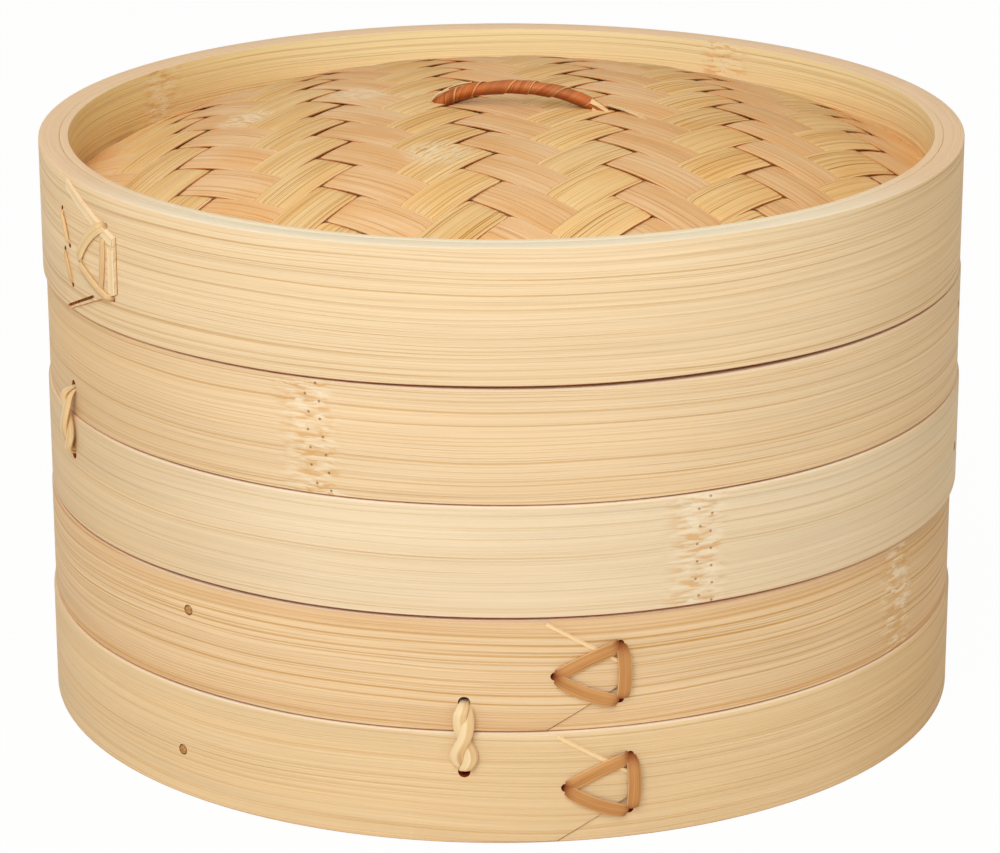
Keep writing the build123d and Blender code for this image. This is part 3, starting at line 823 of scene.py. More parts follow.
def tongue(name, radius, middle, base, top, azimuth, bevel, end, hoops):
    """The thinned outer end of a bent strip, bevelled to a blunt point."""
    thick, soft, steps, lanes = 3.0 * MM, 0.18 * MM, 40, 2
    height, half = (base + top) / 2, (top - base) / 2 - hoops.tongue_set_back
    out = tongue_surface(hoops)

    def place(along, across):
        if along < 0.5:
            right = -hoops.tongue_reach + (hoops.tongue_reach - bevel) * along * 2
            tall = half
        else:
            right = -bevel * (1 - along) * 2
            tall = half + (end / 2 - half) * (along * 2 - 1)
        return on_hoop(radius, azimuth, middle, right, height + 2 * tall * across, out(right) - thick / 2)

    piece = laid(name, place, steps, lanes, hoops.tongue_reach, 2 * half)
    thicken(piece, thick)
    soften(piece, soft)
    close_up(piece)
    return piece


def combine(piece, other, operation):
    """Adds another piece to this one, or cuts it away, and removes it."""
    modify(piece, "BOOLEAN", operation=operation, object=other, solver="EXACT", material_mode="TRANSFER")
    bpy.data.objects.remove(other, do_unlink=True)


def slit(radius, azimuth, middle, start, end, wide, finish, deep=1.2 * MM):
    """A cutter for a narrow groove on a hoop, from one place to another."""
    first, last = Vector(start), Vector(end)
    centre, run = (first + last) / 2, last - first
    angle = azimuth + centre.x / radius
    piece = primitive("cube", "slit", size=1, stretch=(run.length, wide, 2 * deep))
    upright = Matrix.Rotation(angle + pi / 2, 4, "Z") @ Matrix.Rotation(pi / 2, 4, "X")
    lean = Matrix.Rotation(atan2(run.y, run.x), 4, "Z")
    spot = (middle + radius * cos(angle), radius * sin(angle), centre.y)
    piece.data.transform(Matrix.Translation(spot) @ upright @ lean)
    piece.data.materials.append(finish)
    return piece


def drill(piece, places, radius, middle, char, slits):
    """Burns holes through a hoop, at azimuths and heights, and cuts grooves into it."""
    reach, sides = 14 * MM, 20
    bits = list(slits)
    for azimuth, height, bit in places:
        spot = (middle + radius * cos(azimuth), radius * sin(azimuth), height)
        bits.append(primitive(
            "cylinder", "bit", vertices=sides, radius=bit, depth=reach, location=spot,
            rotation=(pi / 2, 0, azimuth + pi / 2),
        ))
        bits[-1].data.materials.append(char)
    cutter = join("bits", bits)
    combine(piece, cutter, "DIFFERENCE")


def lit_cut_band(radius, azimuth, middle, start, end, wide, out, finish):
    """A flat pale band along a tongue's edge, to the right of the way from one place to another: paler cut
    wood and a painted highlight where a bevel would catch the light.
    """
    proud, thick, steps, lanes = 0.05 * MM, 0.12 * MM, 24, 4
    first, last = Vector(start), Vector(end)
    run = last - first
    inward = Vector((run.y, -run.x)).normalized() * wide

    def place(along, across):
        spot = first + run * along + inward * (across + 0.5)
        return on_hoop(radius, azimuth, middle, spot.x, spot.y, out(spot.x) + proud)

    piece = laid("cut", place, steps, lanes, run.length, wide)
    thicken(piece, thick, offset=-1.0)
    piece.data.materials.append(finish)
    return piece


def triangle_holes(radius, azimuth, height, width, tall):
    """The three holes of a lacing: one at the left and two at the right, one over the other."""
    left = azimuth - width / radius
    return [(left, height), (azimuth, height + tall / 2), (azimuth, height - tall / 2)]


def lid_lacing_holes(hoops, height):
    """The holes of the lid's lacing and of the two small stitches at its left, as azimuths and heights."""
    return {
        name: (hoops.lid_lacing + right * MM / hoops.lid_radius, height + up * MM)
        for name, (right, up) in LID_HOLES.items()
    }


def dome(mat):
    """The mat's form, as a function that gives the height of its middle at a place in the lid's plan."""
    crown = span("lid_hoop")[0] + mat.crown
    shift, radius, rise, power = mat.crown_aside, mat.radius, mat.rise, mat.roundness

    def height(x, y):
        return crown - rise * (sqrt((x - shift) ** 2 + y ** 2) / radius) ** power

    return height


class Layout:
    """Where the holes of a basket are, worked out once for hoops, lacing, ties and pegs."""

    def __init__(self, tier, hoops, canes):
        self.middle = aside(tier)
        self.turn = TURNS[tier]
        self.foot = span(f"{tier}_foot_hoop")
        self.rim = span(f"{tier}_rim_hoop")
        size = (canes.lacing_width, canes.lacing_height)
        foot, rim = hoops.foot_lacing + self.turn, hoops.rim_lacing + self.turn
        self.foot_lacing = triangle_holes(hoops.foot_radius, foot, sum(self.foot) / 2, *size)
        self.rim_lacing = triangle_holes(hoops.rim_radius, rim, sum(self.rim) / 2, *size)
        level, half_tie = self.rim[0] + canes.tie_rise, canes.tie_span / 2
        self.ties = [(hoops.tie + self.turn + half, level - half_tie, level + half_tie) for half in (0, pi)]
        low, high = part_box(f"{tier}_foot_pegs")
        self.foot_pegs = [(hoops.floor + self.turn + half, (low[2] + high[2]) / 2) for half in (0, pi)]
        low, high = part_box(f"{tier}_rim_pegs")
        self.rim_pegs = [(hoops.rim_pegs + self.turn + half, (low[2] + high[2]) / 2) for half in (0, pi)]


class STEAMER_OT_outer_hoops(bpy.types.Operator):
    """Bends the five outer hoops, with their tongues and burnt holes"""

    bl_idname = "steamer.outer_hoops"
    bl_label = "Outer hoops"

    def execute(self, context):
        hoops, canes = context.scene.steamer_hoops, context.scene.steamer_canes
        char = char_and_shade("burnt_hole", canes.hole_colour)
        # painted shade: the walls of the grooves under and at the end of a tongue get a darker brown
        dusky = char_and_shade("dusky_groove", srgb(196, 132, 66))
        # pale band along the tongues' edges: paler cut wood and a painted highlight
        fresh = cane(
            "fresh_cut", srgb(250, 224, 176), srgb(226, 178, 116), srgb(255, 240, 208), canes.cut_width,
        )
        for tier in (LOWER, UPPER):
            layout = Layout(tier, hoops, canes)
            for part in ("foot", "rim"):
                self.basket_hoop(tier, part, layout, hoops, canes, char, dusky, fresh)
        self.lid_hoop(hoops, canes, char, dusky, fresh)
        return {"FINISHED"}

    def basket_hoop(self, tier, part, layout, hoops, canes, char, dusky, fresh):
        """The foot hoop or the rim hoop of a basket."""
        peg_play, groove_drop, groove_width = 0.22 * MM, 0.2 * MM, 0.3 * MM
        kind, name = f"{tier}_{part}", f"{tier}_{part}_band"
        outside, bore = getattr(hoops, f"{part}_radius"), getattr(hoops, f"{part}_bore")
        base, top = getattr(layout, part)
        azimuth, middle = getattr(hoops, f"{part}_lacing") + layout.turn, layout.middle
        edges = (hoops.low_edge, getattr(hoops, f"{part}_edge"))
        gap = seam(*SEAMS[kind]) if kind in SEAMS else None
        piece = spun_hoop(name, bore, outside, base, top, middle, edges, hoops.steps, gap)
        bevel, blunt = hoops.tongue_bevel, hoops.tongue_end
        combine(piece, tongue("tongue", outside, middle, base, top, azimuth, bevel, blunt, hoops), "UNION")
        height, half = (base + top) / 2, (top - base) / 2 - hoops.tongue_set_back
        tone = getattr(hoops, f"{kind}_colour")
        coat(piece, hoop_bamboo(f"{name}_bamboo", hoops, tone, height, *BAMBOO[kind]))
        tie_end = 1 if part == "foot" else 2
        places = [(*spot, canes.hole_radius) for spot in getattr(layout, f"{part}_lacing")]
        places += [(tie[0], tie[tie_end], canes.tie_hole_radius) for tie in layout.ties]
        places += [(*spot, hoops.peg_radius + peg_play) for spot in getattr(layout, f"{part}_pegs")]
        edge = [(-bevel, half), (0.0, blunt / 2)]
        upper = [(right, height + up) for right, up in edge]
        lower = [(right, height - up - groove_drop) for right, up in edge]
        # the groove under the tongue's lower edge, its walls in painted shade
        groove = slit(outside, azimuth, middle, *lower, groove_width, dusky)
        drill(piece, places, (outside + bore) / 2, middle, char, [groove])
        face = lit_cut_band(outside, azimuth, middle, *upper, canes.cut_width, tongue_surface(hoops), fresh)
        piece = join(name, [piece, face])
        dress(piece, tier, "hoop_bamboo", None, f"{tier}_{part}_hoop")

    def lid_hoop(self, hoops, canes, char, dusky, fresh):
        """The lid's tall hoop."""
        beyond_lacing, cut_top = 2 * MM, 4.5 * MM
        groove_width, groove_depth, joint_width, joint_right = 0.8 * MM, 0.7 * MM, 0.3 * MM, 0.2 * MM
        slant_left, slant_up, slant_right, slant_down = 2.6 * MM, 0.1 * MM, 11 * MM, 10.6 * MM
        base, top = span("lid_hoop")
        middle, height, radius = aside(LID), (base + top) / 2, hoops.lid_radius
        edges = (hoops.low_edge, hoops.lid_edge)
        gap = seam(*SEAMS["lid"])
        piece = spun_hoop("lid_band", hoops.lid_bore, radius, base, top, middle, edges, hoops.steps, gap)
        end = hoops.lid_lacing + beyond_lacing / radius
        bevel, blunt = hoops.lid_tongue_bevel, hoops.lid_tongue_end
        combine(piece, tongue("tongue", radius, middle, base, top, end, bevel, blunt, hoops), "UNION")
        coat(piece, hoop_bamboo("lid_band_bamboo", hoops, hoops.lid_colour, height, *BAMBOO["lid"]))
        holes = lid_lacing_holes(hoops, height)
        places = [(azimuth, up, canes.lid_hole_radius) for azimuth, up in holes.values()]
        half = (top - base) / 2 - hoops.tongue_set_back
        slant = [(-bevel - slant_left, height - half + slant_up), (-slant_right, height - slant_down)]
        joint = [(joint_right, height + blunt / 2), (joint_right, height - blunt / 2)]
        # grooves under the tongue's lower edge and at its end, their walls in painted shade
        slits = [
            slit(radius, end, middle, *slant, groove_width, dusky, groove_depth),
            slit(radius, end, middle, *joint, joint_width, dusky),
        ]
        drill(piece, places, (radius + hoops.lid_bore) / 2, middle, char, slits)
        out = tongue_surface(hoops)
        upper = [(-bevel, height + half), (0.0, height + blunt / 2)]
        upright = [(0.0, height + cut_top), (0.0, height - blunt / 2)]
        faces = [
            lit_cut_band(radius, end, middle, *run, canes.lid_cut_width, out, fresh) for run in (upper, upright)
        ]
        piece = join("lid_band", [piece, *faces])
        dress(piece, LID, "hoop_bamboo", None, "lid_hoop")


class STEAMER_OT_inner_hoops(bpy.types.Operator):
    """Bends the thin inner hoops: liners, floor rings and the two that clamp the mat"""

    bl_idname = "steamer.inner_hoops"
    bl_label = "Inner hoops"

    def execute(self, context):
        hoops, mat = context.scene.steamer_hoops, context.scene.steamer_mat
        tone, warm = hoops.inner_colour, hoops.liner_colour
        _, top = span("lid_upper_liner")
        scars_below = 6 * MM  # from the mat hoop's top to the middle of its scars
        liner = hoop_bamboo("liner_bamboo", hoops, warm, top / 2, *BAMBOO["liner"])
        mat_hoop = hoop_bamboo("mat_hoop_bamboo", hoops, tone, top - scars_below, *BAMBOO["mat_hoop"])
        ring = hoop_bamboo("floor_ring_bamboo", hoops, shade(warm, 0.92), top / 2, *BAMBOO["floor_ring"])
        rows = [(tier, "liner_hoop", hoops.liner_wall, liner) for tier in (LOWER, UPPER)]
        rows += [(tier, "floor_ring", hoops.ring_wall, ring) for tier in (LOWER, UPPER)]
        rows += [(LID, node, hoops.mat_hoop_wall, mat_hoop) for node in ("upper_liner", "lower_liner")]
        for tier, node, wall, finish in rows:
            low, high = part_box(f"{tier}_{node}")
            outside = (high[0] - low[0]) / 2
            bore = outside - wall
            edges = (hoops.thin_edge, hoops.thin_edge)
            top = high[2]
            gap = None
            if node == "lower_liner":
                top -= hoops.mat_sag
            if node == "upper_liner":
                outside, edges = hoops.lid_bore, (hoops.thin_edge, hoops.thin_edge / 2)
                gap = self.resting(mat, bore, low[2])
            piece = spun_hoop(
                f"{tier}_{node}_band", bore, outside, low[2], top, aside(tier), edges, hoops.steps, gap,
            )
            dress(piece, tier, "hoop_bamboo", finish, f"{tier}_{node}")
        return {"FINISHED"}

    def resting(self, mat, bore, base):
        """How the inner hoop's lower edge follows the mat that it rests on."""
        form = dome(mat)

        def gap(azimuth):
            return form(bore * cos(azimuth), bore * sin(azimuth)) - base

        return gap


class STEAMER_OT_floors(bpy.types.Operator):
    """Gives the floor slats and the crossbars their bamboo, and bends the lid's ribs"""

    bl_idname = "steamer.floors"
    bl_label = "Floors and ribs"

    def execute(self, context):
        hoops = context.scene.steamer_hoops
        tone, vein = hoops.liner_colour, hoops.vein_colour
        for tier in (LOWER, UPPER):
            along = hoops.floor + TURNS[tier]
            slat = straight_bamboo(f"{tier}_slat_bamboo", tone, vein, along + pi / 2)
            bar = straight_bamboo(f"{tier}_crossbar_bamboo", shade(tone, 0.9), vein, along)
            for name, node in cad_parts.items():
                if name.startswith(f"{tier}_slat_"):
                    coat(node, slat)
                elif name == f"{tier}_crossbar":
                    coat(node, bar)
        form = dome(context.scene.steamer_mat)
        for name, degrees, drop in (("upper", 45.0, 0.0), ("lower", -45.0, 2.0 * MM)):
            azimuth = radians(degrees)
            piece = self.rib(f"{name}_rib_splint", form, azimuth, drop)
            finish = straight_bamboo(f"{name}_rib_bamboo", tone, vein, azimuth)
            dress(piece, LID, "floor_bamboo", finish, f"lid_{name}_rib")
        return {"FINISHED"}

    def rib(self, name, form, azimuth, drop):
        """A springy splint under the mat, along an azimuth; a drop bows it under the other one."""
        middle = aside(LID)
        reach, wide, thick, soft, below_mat = 118.6 * MM, 14.0 * MM, 1.8 * MM, 0.25 * MM, 0.85 * MM
        under = below_mat + thick / 2
        steps, lanes = 60, 4
        turned = Matrix.Rotation(azimuth, 3, "Z")

        def place(along, across):
            run = (2 * along - 1) * reach
            spot = turned @ Vector((run, across * wide, 0))
            sunk = under + drop * (1 - (run / reach) ** 2)
            return Vector((spot.x + middle, spot.y, form(spot.x, spot.y) - sunk))

        piece = laid(name, place, steps, lanes, 2 * reach, wide)
        thicken(piece, thick)
        soften(piece, soft)
        close_up(piece)
        return piece


class STEAMER_OT_pegs(bpy.types.Operator):
    """Drives the whittled pegs"""

    bl_idname = "steamer.pegs"
    bl_label = "Pegs"

    def execute(self, context):
        hoops, canes = context.scene.steamer_hoops, context.scene.steamer_canes
        roughness, cells, relief, proud = 0.6, 2200.0, 0.15 * MM, 0.1 * MM
        finish = Finish("peg_bamboo", roughness)
        speck = finish.specks(cells)
        tone = finish.mix(finish.ranged(speck, 0.35, 0.65), srgb(150, 104, 58), srgb(206, 158, 100))
        finish.done(tone, speck, relief)
        for tier in (LOWER, UPPER):
            layout = Layout(tier, hoops, canes)
            for part in ("foot", "rim"):
                outside, deep = getattr(hoops, f"{part}_radius") + proud, getattr(hoops, f"{part}_peg")
                pins = [
                    self.peg(layout.middle, azimuth, height, outside, deep, hoops.peg_radius)
                    for azimuth, height in getattr(layout, f"{part}_pegs")
                ]
                piece = join(f"{tier}_{part}_pins", pins)
                dress(piece, tier, "peg_bamboo", finish.material, f"{tier}_{part}_pegs")
        return {"FINISHED"}

    def peg(self, middle, azimuth, height, outside, deep, radius):
        """One peg: a whittled pin with its outer end rounded over."""
        sides, soft = 12, 0.25 * MM
        inward = outside - deep / 2
        spot = (middle + inward * cos(azimuth), inward * sin(azimuth), height)
        piece = primitive(
            "cylinder", "peg", vertices=sides, radius=radius, depth=deep, location=spot,
            rotation=(pi / 2, 0, azimuth + pi / 2),
        )
        soften(piece, soft)
        return piece


def strap(name, radius, azimuth, middle, start, end, bulge, width, rise, canes, seed, tip=0.8, burn=1.9 * MM):
    """A strip of cane over a hoop: it comes out of one hole, lies flat and dives into another."""
    soft, steps, lanes = 0.16 * MM, 28, 8
    draw = random.Random(seed)
    first, last = Vector(start), Vector(end)
    direction = (last - first).normalized()
    over = 0.35 * canes.hole_radius
    first, last = first - direction * over, last + direction * over
    run = (last - first).length
    normal = Vector((-direction.y, direction.x))
    bend, depth = min(2.4 * MM, 0.2 * run), 1.8 * MM
    twist = draw.uniform(-0.25, 0.25)
    thick = canes.thickness
    taper, crowned = 1.6 * bend, 0.45 * thick

    def place(along, across):
        inner = min(along, 1 - along) * run
        centre = first + (last - first) * along + normal * (bulge * 4 * along * (1 - along))
        lift = rise if inner > bend else -depth + (rise + depth) * sin(pi / 2 * inner / bend)
        wide = width * (tip + (1 - tip) * min(1.0, inner / taper))
        centre = centre + normal * (across * wide)
        crown = crowned * (1 - (2 * across) ** 2) + twist * across * thick
        return on_hoop(radius, azimuth, middle, centre.x, centre.y, lift + crown)

    piece = laid(name, place, steps, lanes, run, width, seed)
    burnt = piece.data.attributes.new(BURNT, "FLOAT", "POINT")
    shares = [vertex.index % (steps + 1) / steps for vertex in piece.data.vertices]
    burnt.data.foreach_set("value", [exp(-(min(share, 1 - share) * run / burn) ** 2) for share in shares])
    thicken(piece, thick)
    soften(piece, soft)
    return piece


class STEAMER_OT_lacing(bpy.types.Operator):
    """Laces the tongues of the hoops with split cane"""

    bl_idname = "steamer.lacing"
    bl_label = "Lacing"

    def execute(self, context):
        hoops, canes = context.scene.steamer_hoops, context.scene.steamer_canes
        tan = cane(
            "tan_cane", canes.lacing_colour, srgb(150, 92, 46), srgb(233, 190, 134), canes.width / 2,
        )
        for number, tier in enumerate((LOWER, UPPER)):
            layout = Layout(tier, hoops, canes)
            for part in ("foot", "rim"):
                radius = getattr(hoops, f"{part}_radius")
                holes = getattr(layout, f"{part}_lacing")
                piece = self.triangle(radius, holes, layout.middle, canes, hoops, 10 * number + len(part))
                piece.name = f"{tier}_{part}_stitching"
                dress(piece, tier, "tan_cane", tan, f"{tier}_{part}_lacing")
        self.lid_lacing(hoops, canes)
        return {"FINISHED"}

    def triangle(self, radius, holes, middle, canes, hoops, seed):
        """Three straps from hole to hole."""
        origin = holes[1][0]
        flat = [((azimuth - origin) * radius, height) for azimuth, height in holes]
        rise, over = hoops.tongue_step + 0.35 * MM, 0.3 * MM
        # Start, end and bulge in mm
        corners = [(flat[0], flat[1], 0.5), (flat[0], flat[2], -1.2), (flat[1], flat[2], 0.9)]
        straps = [
            strap(
                "strap", radius, origin, middle, start, end, bulge * MM, canes.width, rise + n * over, canes,
                seed + n,
            )
            for n, (start, end, bulge) in enumerate(corners)
        ]
        piece = join("stitching", straps)
        close_up(piece)
        return piece

    def lid_lacing(self, hoops, canes):
        """The lid's slimmer straw-coloured lacing, and two small stitches at its left."""
        straw = cane(
            "straw_cane", canes.pale_colour, srgb(176, 122, 66), srgb(247, 222, 178), canes.width * 0.42,
        )
        base, top = span("lid_hoop")
        height, middle, radius = (base + top) / 2, aside(LID), hoops.lid_radius
        origin = hoops.lid_lacing
        holes = lid_lacing_holes(hoops, height)
        flat = {name: ((azimuth - origin) * radius, up) for name, (azimuth, up) in holes.items()}
        rise, under, burn, seed = hoops.tongue_step + 0.3 * MM, 0.1 * MM, 0.9 * MM, 40
        # Start, end, bulge in mm, and width as a share of a strip's, and at the ends as a share of that
        runs = [
            (flat["top"], flat["left"], -1.6, 0.86, 0.9), (flat["left"], flat["bottom"], -0.8, 0.66, 0.6),
            ((-2.9 * MM, height + 7.5 * MM), (-4.6 * MM, height - 8.2 * MM), 0.5, 0.62, 0.7),
            (flat["upper_start"], flat["upper_end"], 0.4, 0.36, 0.5),
            (flat["lower_start"], flat["lower_end"], 0.4, 0.36, 0.5),
        ]
        straps = [
            strap(
                "strap", radius, origin, middle, start, end, bulge * MM, canes.width * wide, rise - n * under,
                canes, seed + n, tip, burn,
            )
            for n, (start, end, bulge, wide, tip) in enumerate(runs)
        ]
        piece = join("lid_stitching", straps)
        close_up(piece)
        dress(piece, LID, "pale_cane", straw, "lid_lacing")


class STEAMER_OT_ties(bpy.types.Operator):
    """Twists the cane ties that hold the two hoops of a basket together"""

    bl_idname = "steamer.ties"
    bl_label = "Ties"

    def execute(self, context):
        hoops, canes = context.scene.steamer_hoops, context.scene.steamer_canes
        straw = cane(
            "tie_cane", canes.pale_colour, srgb(150, 94, 42), srgb(250, 228, 186), 1.6 * MM, lines=0.7,
        )
        for tier in (LOWER, UPPER):
            layout = Layout(tier, hoops, canes)
            for side, (azimuth, low, high) in zip(("front", "back"), layout.ties):
                strands = [
                    self.strand(hoops.foot_radius, azimuth, layout.middle, low, high, phase)
                    for phase in (0, pi)
                ]
                piece = join(f"{tier}_{side}_twist", strands)
                close_up(piece)
                dress(piece, tier, "pale_cane", straw, f"{tier}_tie_{side}")
        return {"FINISHED"}

    def strand(self, radius, azimuth, middle, low, high, phase):
        """One strand of the twist, a flattened round cane wound half about the other."""
        wide, thick, bend, sunk = 1.85 * MM, 0.9 * MM, 0.9 * MM, 3.4 * MM
        apart, looser, loosest = 1.35 * MM, 0.45 * MM, 0.76  # the twist's half width, its gain, and where
        proud, over = 1.7 * MM, 0.75 * MM
        steps, sides = 48, 12

        def place(along, across):
            inner = min(along, 1 - along) * (high - low)
            dive = exp(-inner / bend)
            swing = 2 * pi * (along - 0.25) + phase
            spread = (apart + looser * cos(2 * pi * (along - loosest))) * (1 - dive)
            right = spread * cos(swing)
            out = proud + over * sin(swing) - sunk * dive
            angle = 2 * pi * across
            slim = 1 - 0.35 * dive
            return on_hoop(
                radius, azimuth, middle, right + wide * slim * cos(angle), high - (high - low) * along,
                out + thick * slim * sin(angle),
            )

        return laid("strand", place, steps, sides, high - low, pi * wide, 3 + phase)


class STEAMER_OT_mat(bpy.types.Operator):
    """Weaves the domed mat, two strips over and two under"""

    bl_idname = "steamer.mat"
    bl_label = "Woven mat"

    def execute(self, context):
        mat = context.scene.steamer_mat
        self.middle = aside(LID)
        self.form = dome(mat)
        draw = random.Random(11)
        half, soft, margin = mat.width / 2, 0.12 * MM, 2 * MM
        pink = woven(
            "falling_bamboo", mat.falling_colour, srgb(206, 142, 80), srgb(255, 222, 176), half, 0.65,
        )
        yellow = woven(
            "rising_bamboo", mat.rising_colour, srgb(190, 128, 54), srgb(255, 226, 172), half, 0.95,
        )
        families = (
            ("falling", mat.row_shift, mat.column_shift, 0.5, mat.azimuth, 1, pink),
            ("rising", mat.column_shift, mat.row_shift, 2.5, mat.azimuth + pi / 2, -1, yellow),
        )
        for name, shift, crossing, phase, azimuth, side, finish in families:
            last = int((mat.radius + half) / mat.pitch) + 1
            strips = []
            for number in range(-last, last + 1):
                aside_by = number * mat.pitch + shift + draw.uniform(-0.2, 0.2) * MM
                wide = mat.width + draw.uniform(-0.25, 0.2) * MM
                up = draw.uniform(-0.12, 0.12) * MM
                if abs(aside_by) - half < mat.radius - margin:
                    strips.append(self.strip(mat, number, aside_by, wide, up, crossing, phase, azimuth, side))
            piece = join(f"{name}_strips", strips)
            thicken(piece, mat.thickness)
            soften(piece, soft, segments=1)
            close_up(piece)
            dress(piece, LID, "woven_strip", finish, f"lid_{name}_strips")
        return {"FINISHED"}

    def strip(self, mat, number, place_across, wide, up, crossing, phase, azimuth, side):
        """One strip of a family: it rides over and under the strips that it crosses."""
        turned = Matrix.Rotation(azimuth, 3, "Z")
        radius, pitch, waves, pillow, squeeze = mat.radius, mat.pitch, mat.lift, mat.pillow, mat.squeeze
        limit = radius - 0.4 * MM
        steep, cupped, short = 13.0, 0.18 * MM, 0.12  # of a dive, of a strip's edges, and of its narrow part
        steps, lanes = 250, 5

        def place(along, across):
            reach = sqrt(radius ** 2 - max(-limit, min(limit, place_across + across * wide)) ** 2)
            run = (2 * along - 1) * reach
            column = (run - crossing) / pitch
            wave = cos(2 * pi * (number + column - phase) / 4)
            lift = waves * tanh(steep * wave)
            crest = pillow * max(0.0, wave) - cupped * (2 * across) ** 2
            slim = wide - squeeze * exp(-(wave / short) ** 2)
            over = max(-limit, min(limit, place_across + across * slim))
            spot = turned @ Vector((run, side * over, 0))
            return Vector((spot.x + self.middle, spot.y, self.form(spot.x, spot.y) + lift + crest + up))

        return laid("strip", place, steps, lanes, 2 * mat.radius, mat.width, number)


class STEAMER_OT_handle(bpy.types.Operator):
    """Bends the handle's core and winds it with flat cane"""

    bl_idname = "steamer.handle"
    bl_label = "Handle"

    def execute(self, context):
        handle = context.scene.steamer_handle
        _, top = span("lid_handle_core")
        centre = top - handle.curve - handle.core_radius
        self.placed = Matrix.Translation((handle.place_x + aside(LID), handle.place_y, centre))
        self.placed = self.placed @ Matrix.Rotation(handle.turned, 4, "Z")
        self.core(handle)
        self.winding(handle)
        return {"FINISHED"}

    def settled(self, handle):
        """How a point of the round arc is put in its place: the ends dip, and the right one grows slim."""
        curve, dip, plunge, reach = handle.curve, handle.dip, handle.plunge, handle.reach
        slim_from, slim_over, slimmer, past = 17 * MM, 10 * MM, 0.45, 1.05

        def put(arc, away):
            right = curve * sin(arc)
            outward = Vector((sin(arc), 0, cos(arc)))
            slim = 1 - slimmer * max(0.0, min(1.0, (right - slim_from) / slim_over))
            point = outward * curve + away * slim
            share = min(past, abs(right) / reach)
            point.z -= dip * share ** 4 if right > 0 else plunge * share ** 8
            return self.placed @ point

        return put

    def core(self, handle):
        """The cane core, a rod bent round the arc's centre, with frayed ends."""
        sides, steps = 14, 36
        piece = primitive(
            "circle", "handle_rod", vertices=sides, radius=handle.core_radius, fill_type="NOTHING",
            location=(0, 0, handle.curve), rotation=(0, pi / 2, 0),
        )
        bpy.ops.object.mode_set(mode="EDIT")
        bpy.ops.mesh.select_all(action="SELECT")
        bpy.ops.mesh.spin(steps=steps, angle=2 * handle.sweep, center=(0, 0, 0), axis=(0, 1, 0))
        bpy.ops.mesh.select_all(action="SELECT")
        bpy.ops.mesh.fill_holes(sides=0)
        bpy.ops.object.mode_set(mode="OBJECT")
        piece.data.transform(Matrix.Rotation(handle.sweep, 4, "Y"))
        put = self.settled(handle)
        for vertex in piece.data.vertices:
            arc = atan2(vertex.co.x, vertex.co.z)
            vertex.co = put(arc, vertex.co - Vector((sin(arc), 0, cos(arc))) * handle.curve)
        frays = [self.fray(handle, put, *run) for run in FRAYS]
        piece = join("handle_rod", [piece, *frays, self.splinter(dome(bpy.context.scene.steamer_mat))])
        close_up(piece)
        tone = srgb(244, 212, 160)
        finish = straight_bamboo("core_cane", tone, srgb(160, 104, 54), handle.turned)
        dress(piece, LID, "pale_cane", finish, "lid_handle_core")

    def fray(self, handle, put, start, end, spin, lift, wide):
        """A split end of the core that lies on the winding or on the mat beside it."""
        thick, taper, arched, steps, lanes = 0.25 * MM, 0.6, 0.3, 10, 3

        def place(along, across):
            arc = (start + (end - start) * along) * MM / handle.curve
            angle = radians(spin) + across * wide / lift * (1 - taper * along)
            away = Vector((sin(arc), 0, cos(arc))) * cos(angle) + Vector((0, 1, 0)) * sin(angle)
            return put(arc, away * (lift + arched * sin(pi * along)) * MM)

        piece = laid("fray", place, steps, lanes, abs(end - start) * MM, wide * MM)
        thicken(piece, thick)
        return piece

    def splinter(self, form):
        """A long splinter of the core that lies on the mat, right of the handle."""
        start, end = Vector((29.0, -9.0)) * MM, Vector((46.0, -28.5)) * MM
        wide, thick, proud, lift = 1.7 * MM, 0.25 * MM, 0.6 * MM, 0.9 * MM
        taper, risen, steps, lanes = 0.85, 0.35, 16, 3
        run = end - start
        sideways = Vector((-run.y, run.x)).normalized()
        middle = aside(LID)

        def place(along, across):
            spot = start + run * along + sideways * (across * wide * (1 - taper * along))
            high = form(spot.x, spot.y) + proud + lift * sin(pi * min(1.0, risen + along))
            return Vector((spot.x + middle, spot.y, high))

        piece = laid("splinter", place, steps, lanes, run.length, wide)
        thicken(piece, thick)
        return piece

    def winding(self, handle):
        """The flat strip wound round the core, each turn lapping over the one before."""
        lead, wide, wander = handle.lead, handle.wrap_width, handle.wander
        thick, lapped, soft, steps_per_turn, lanes = 0.26 * MM, 0.45 * MM, 0.1 * MM, 20, 5
        turns = 2 * handle.sweep * handle.curve / lead - 0.6
        inside = handle.core_radius + thick / 2
        run = turns * sqrt((2 * pi * inside) ** 2 + lead ** 2)
        curve, put = handle.curve, self.settled(handle)

        def place(along, across):
            strayed = wander * sin(6 * pi * along + 0.8)
            arc = ((along - 0.5) * turns * lead + across * wide + strayed) / curve
            spin = 2 * pi * turns * along
            lap = inside + (across + 0.5) * lapped
            away = Vector((sin(arc), 0, cos(arc))) * cos(spin) + Vector((0, 1, 0)) * sin(spin)
            return put(arc, away * lap)

        piece = laid("handle_winding", place, int(turns * steps_per_turn), lanes, run, wide)
        thicken(piece, thick)
        soften(piece, soft, segments=1)
        close_up(piece)
        # the winding is painted darker where it looks down, as painted shade
        finish = cane(
            "red_cane", handle.wrap_colour, srgb(124, 50, 14), srgb(255, 206, 140), wide / 2,
            gloss=0.36, sheen=0.22, blotches=0.7, edge_from=0.91, shade_below=0.6,
        )
        dress(piece, LID, "brown_cane", finish, "lid_handle_wrap")


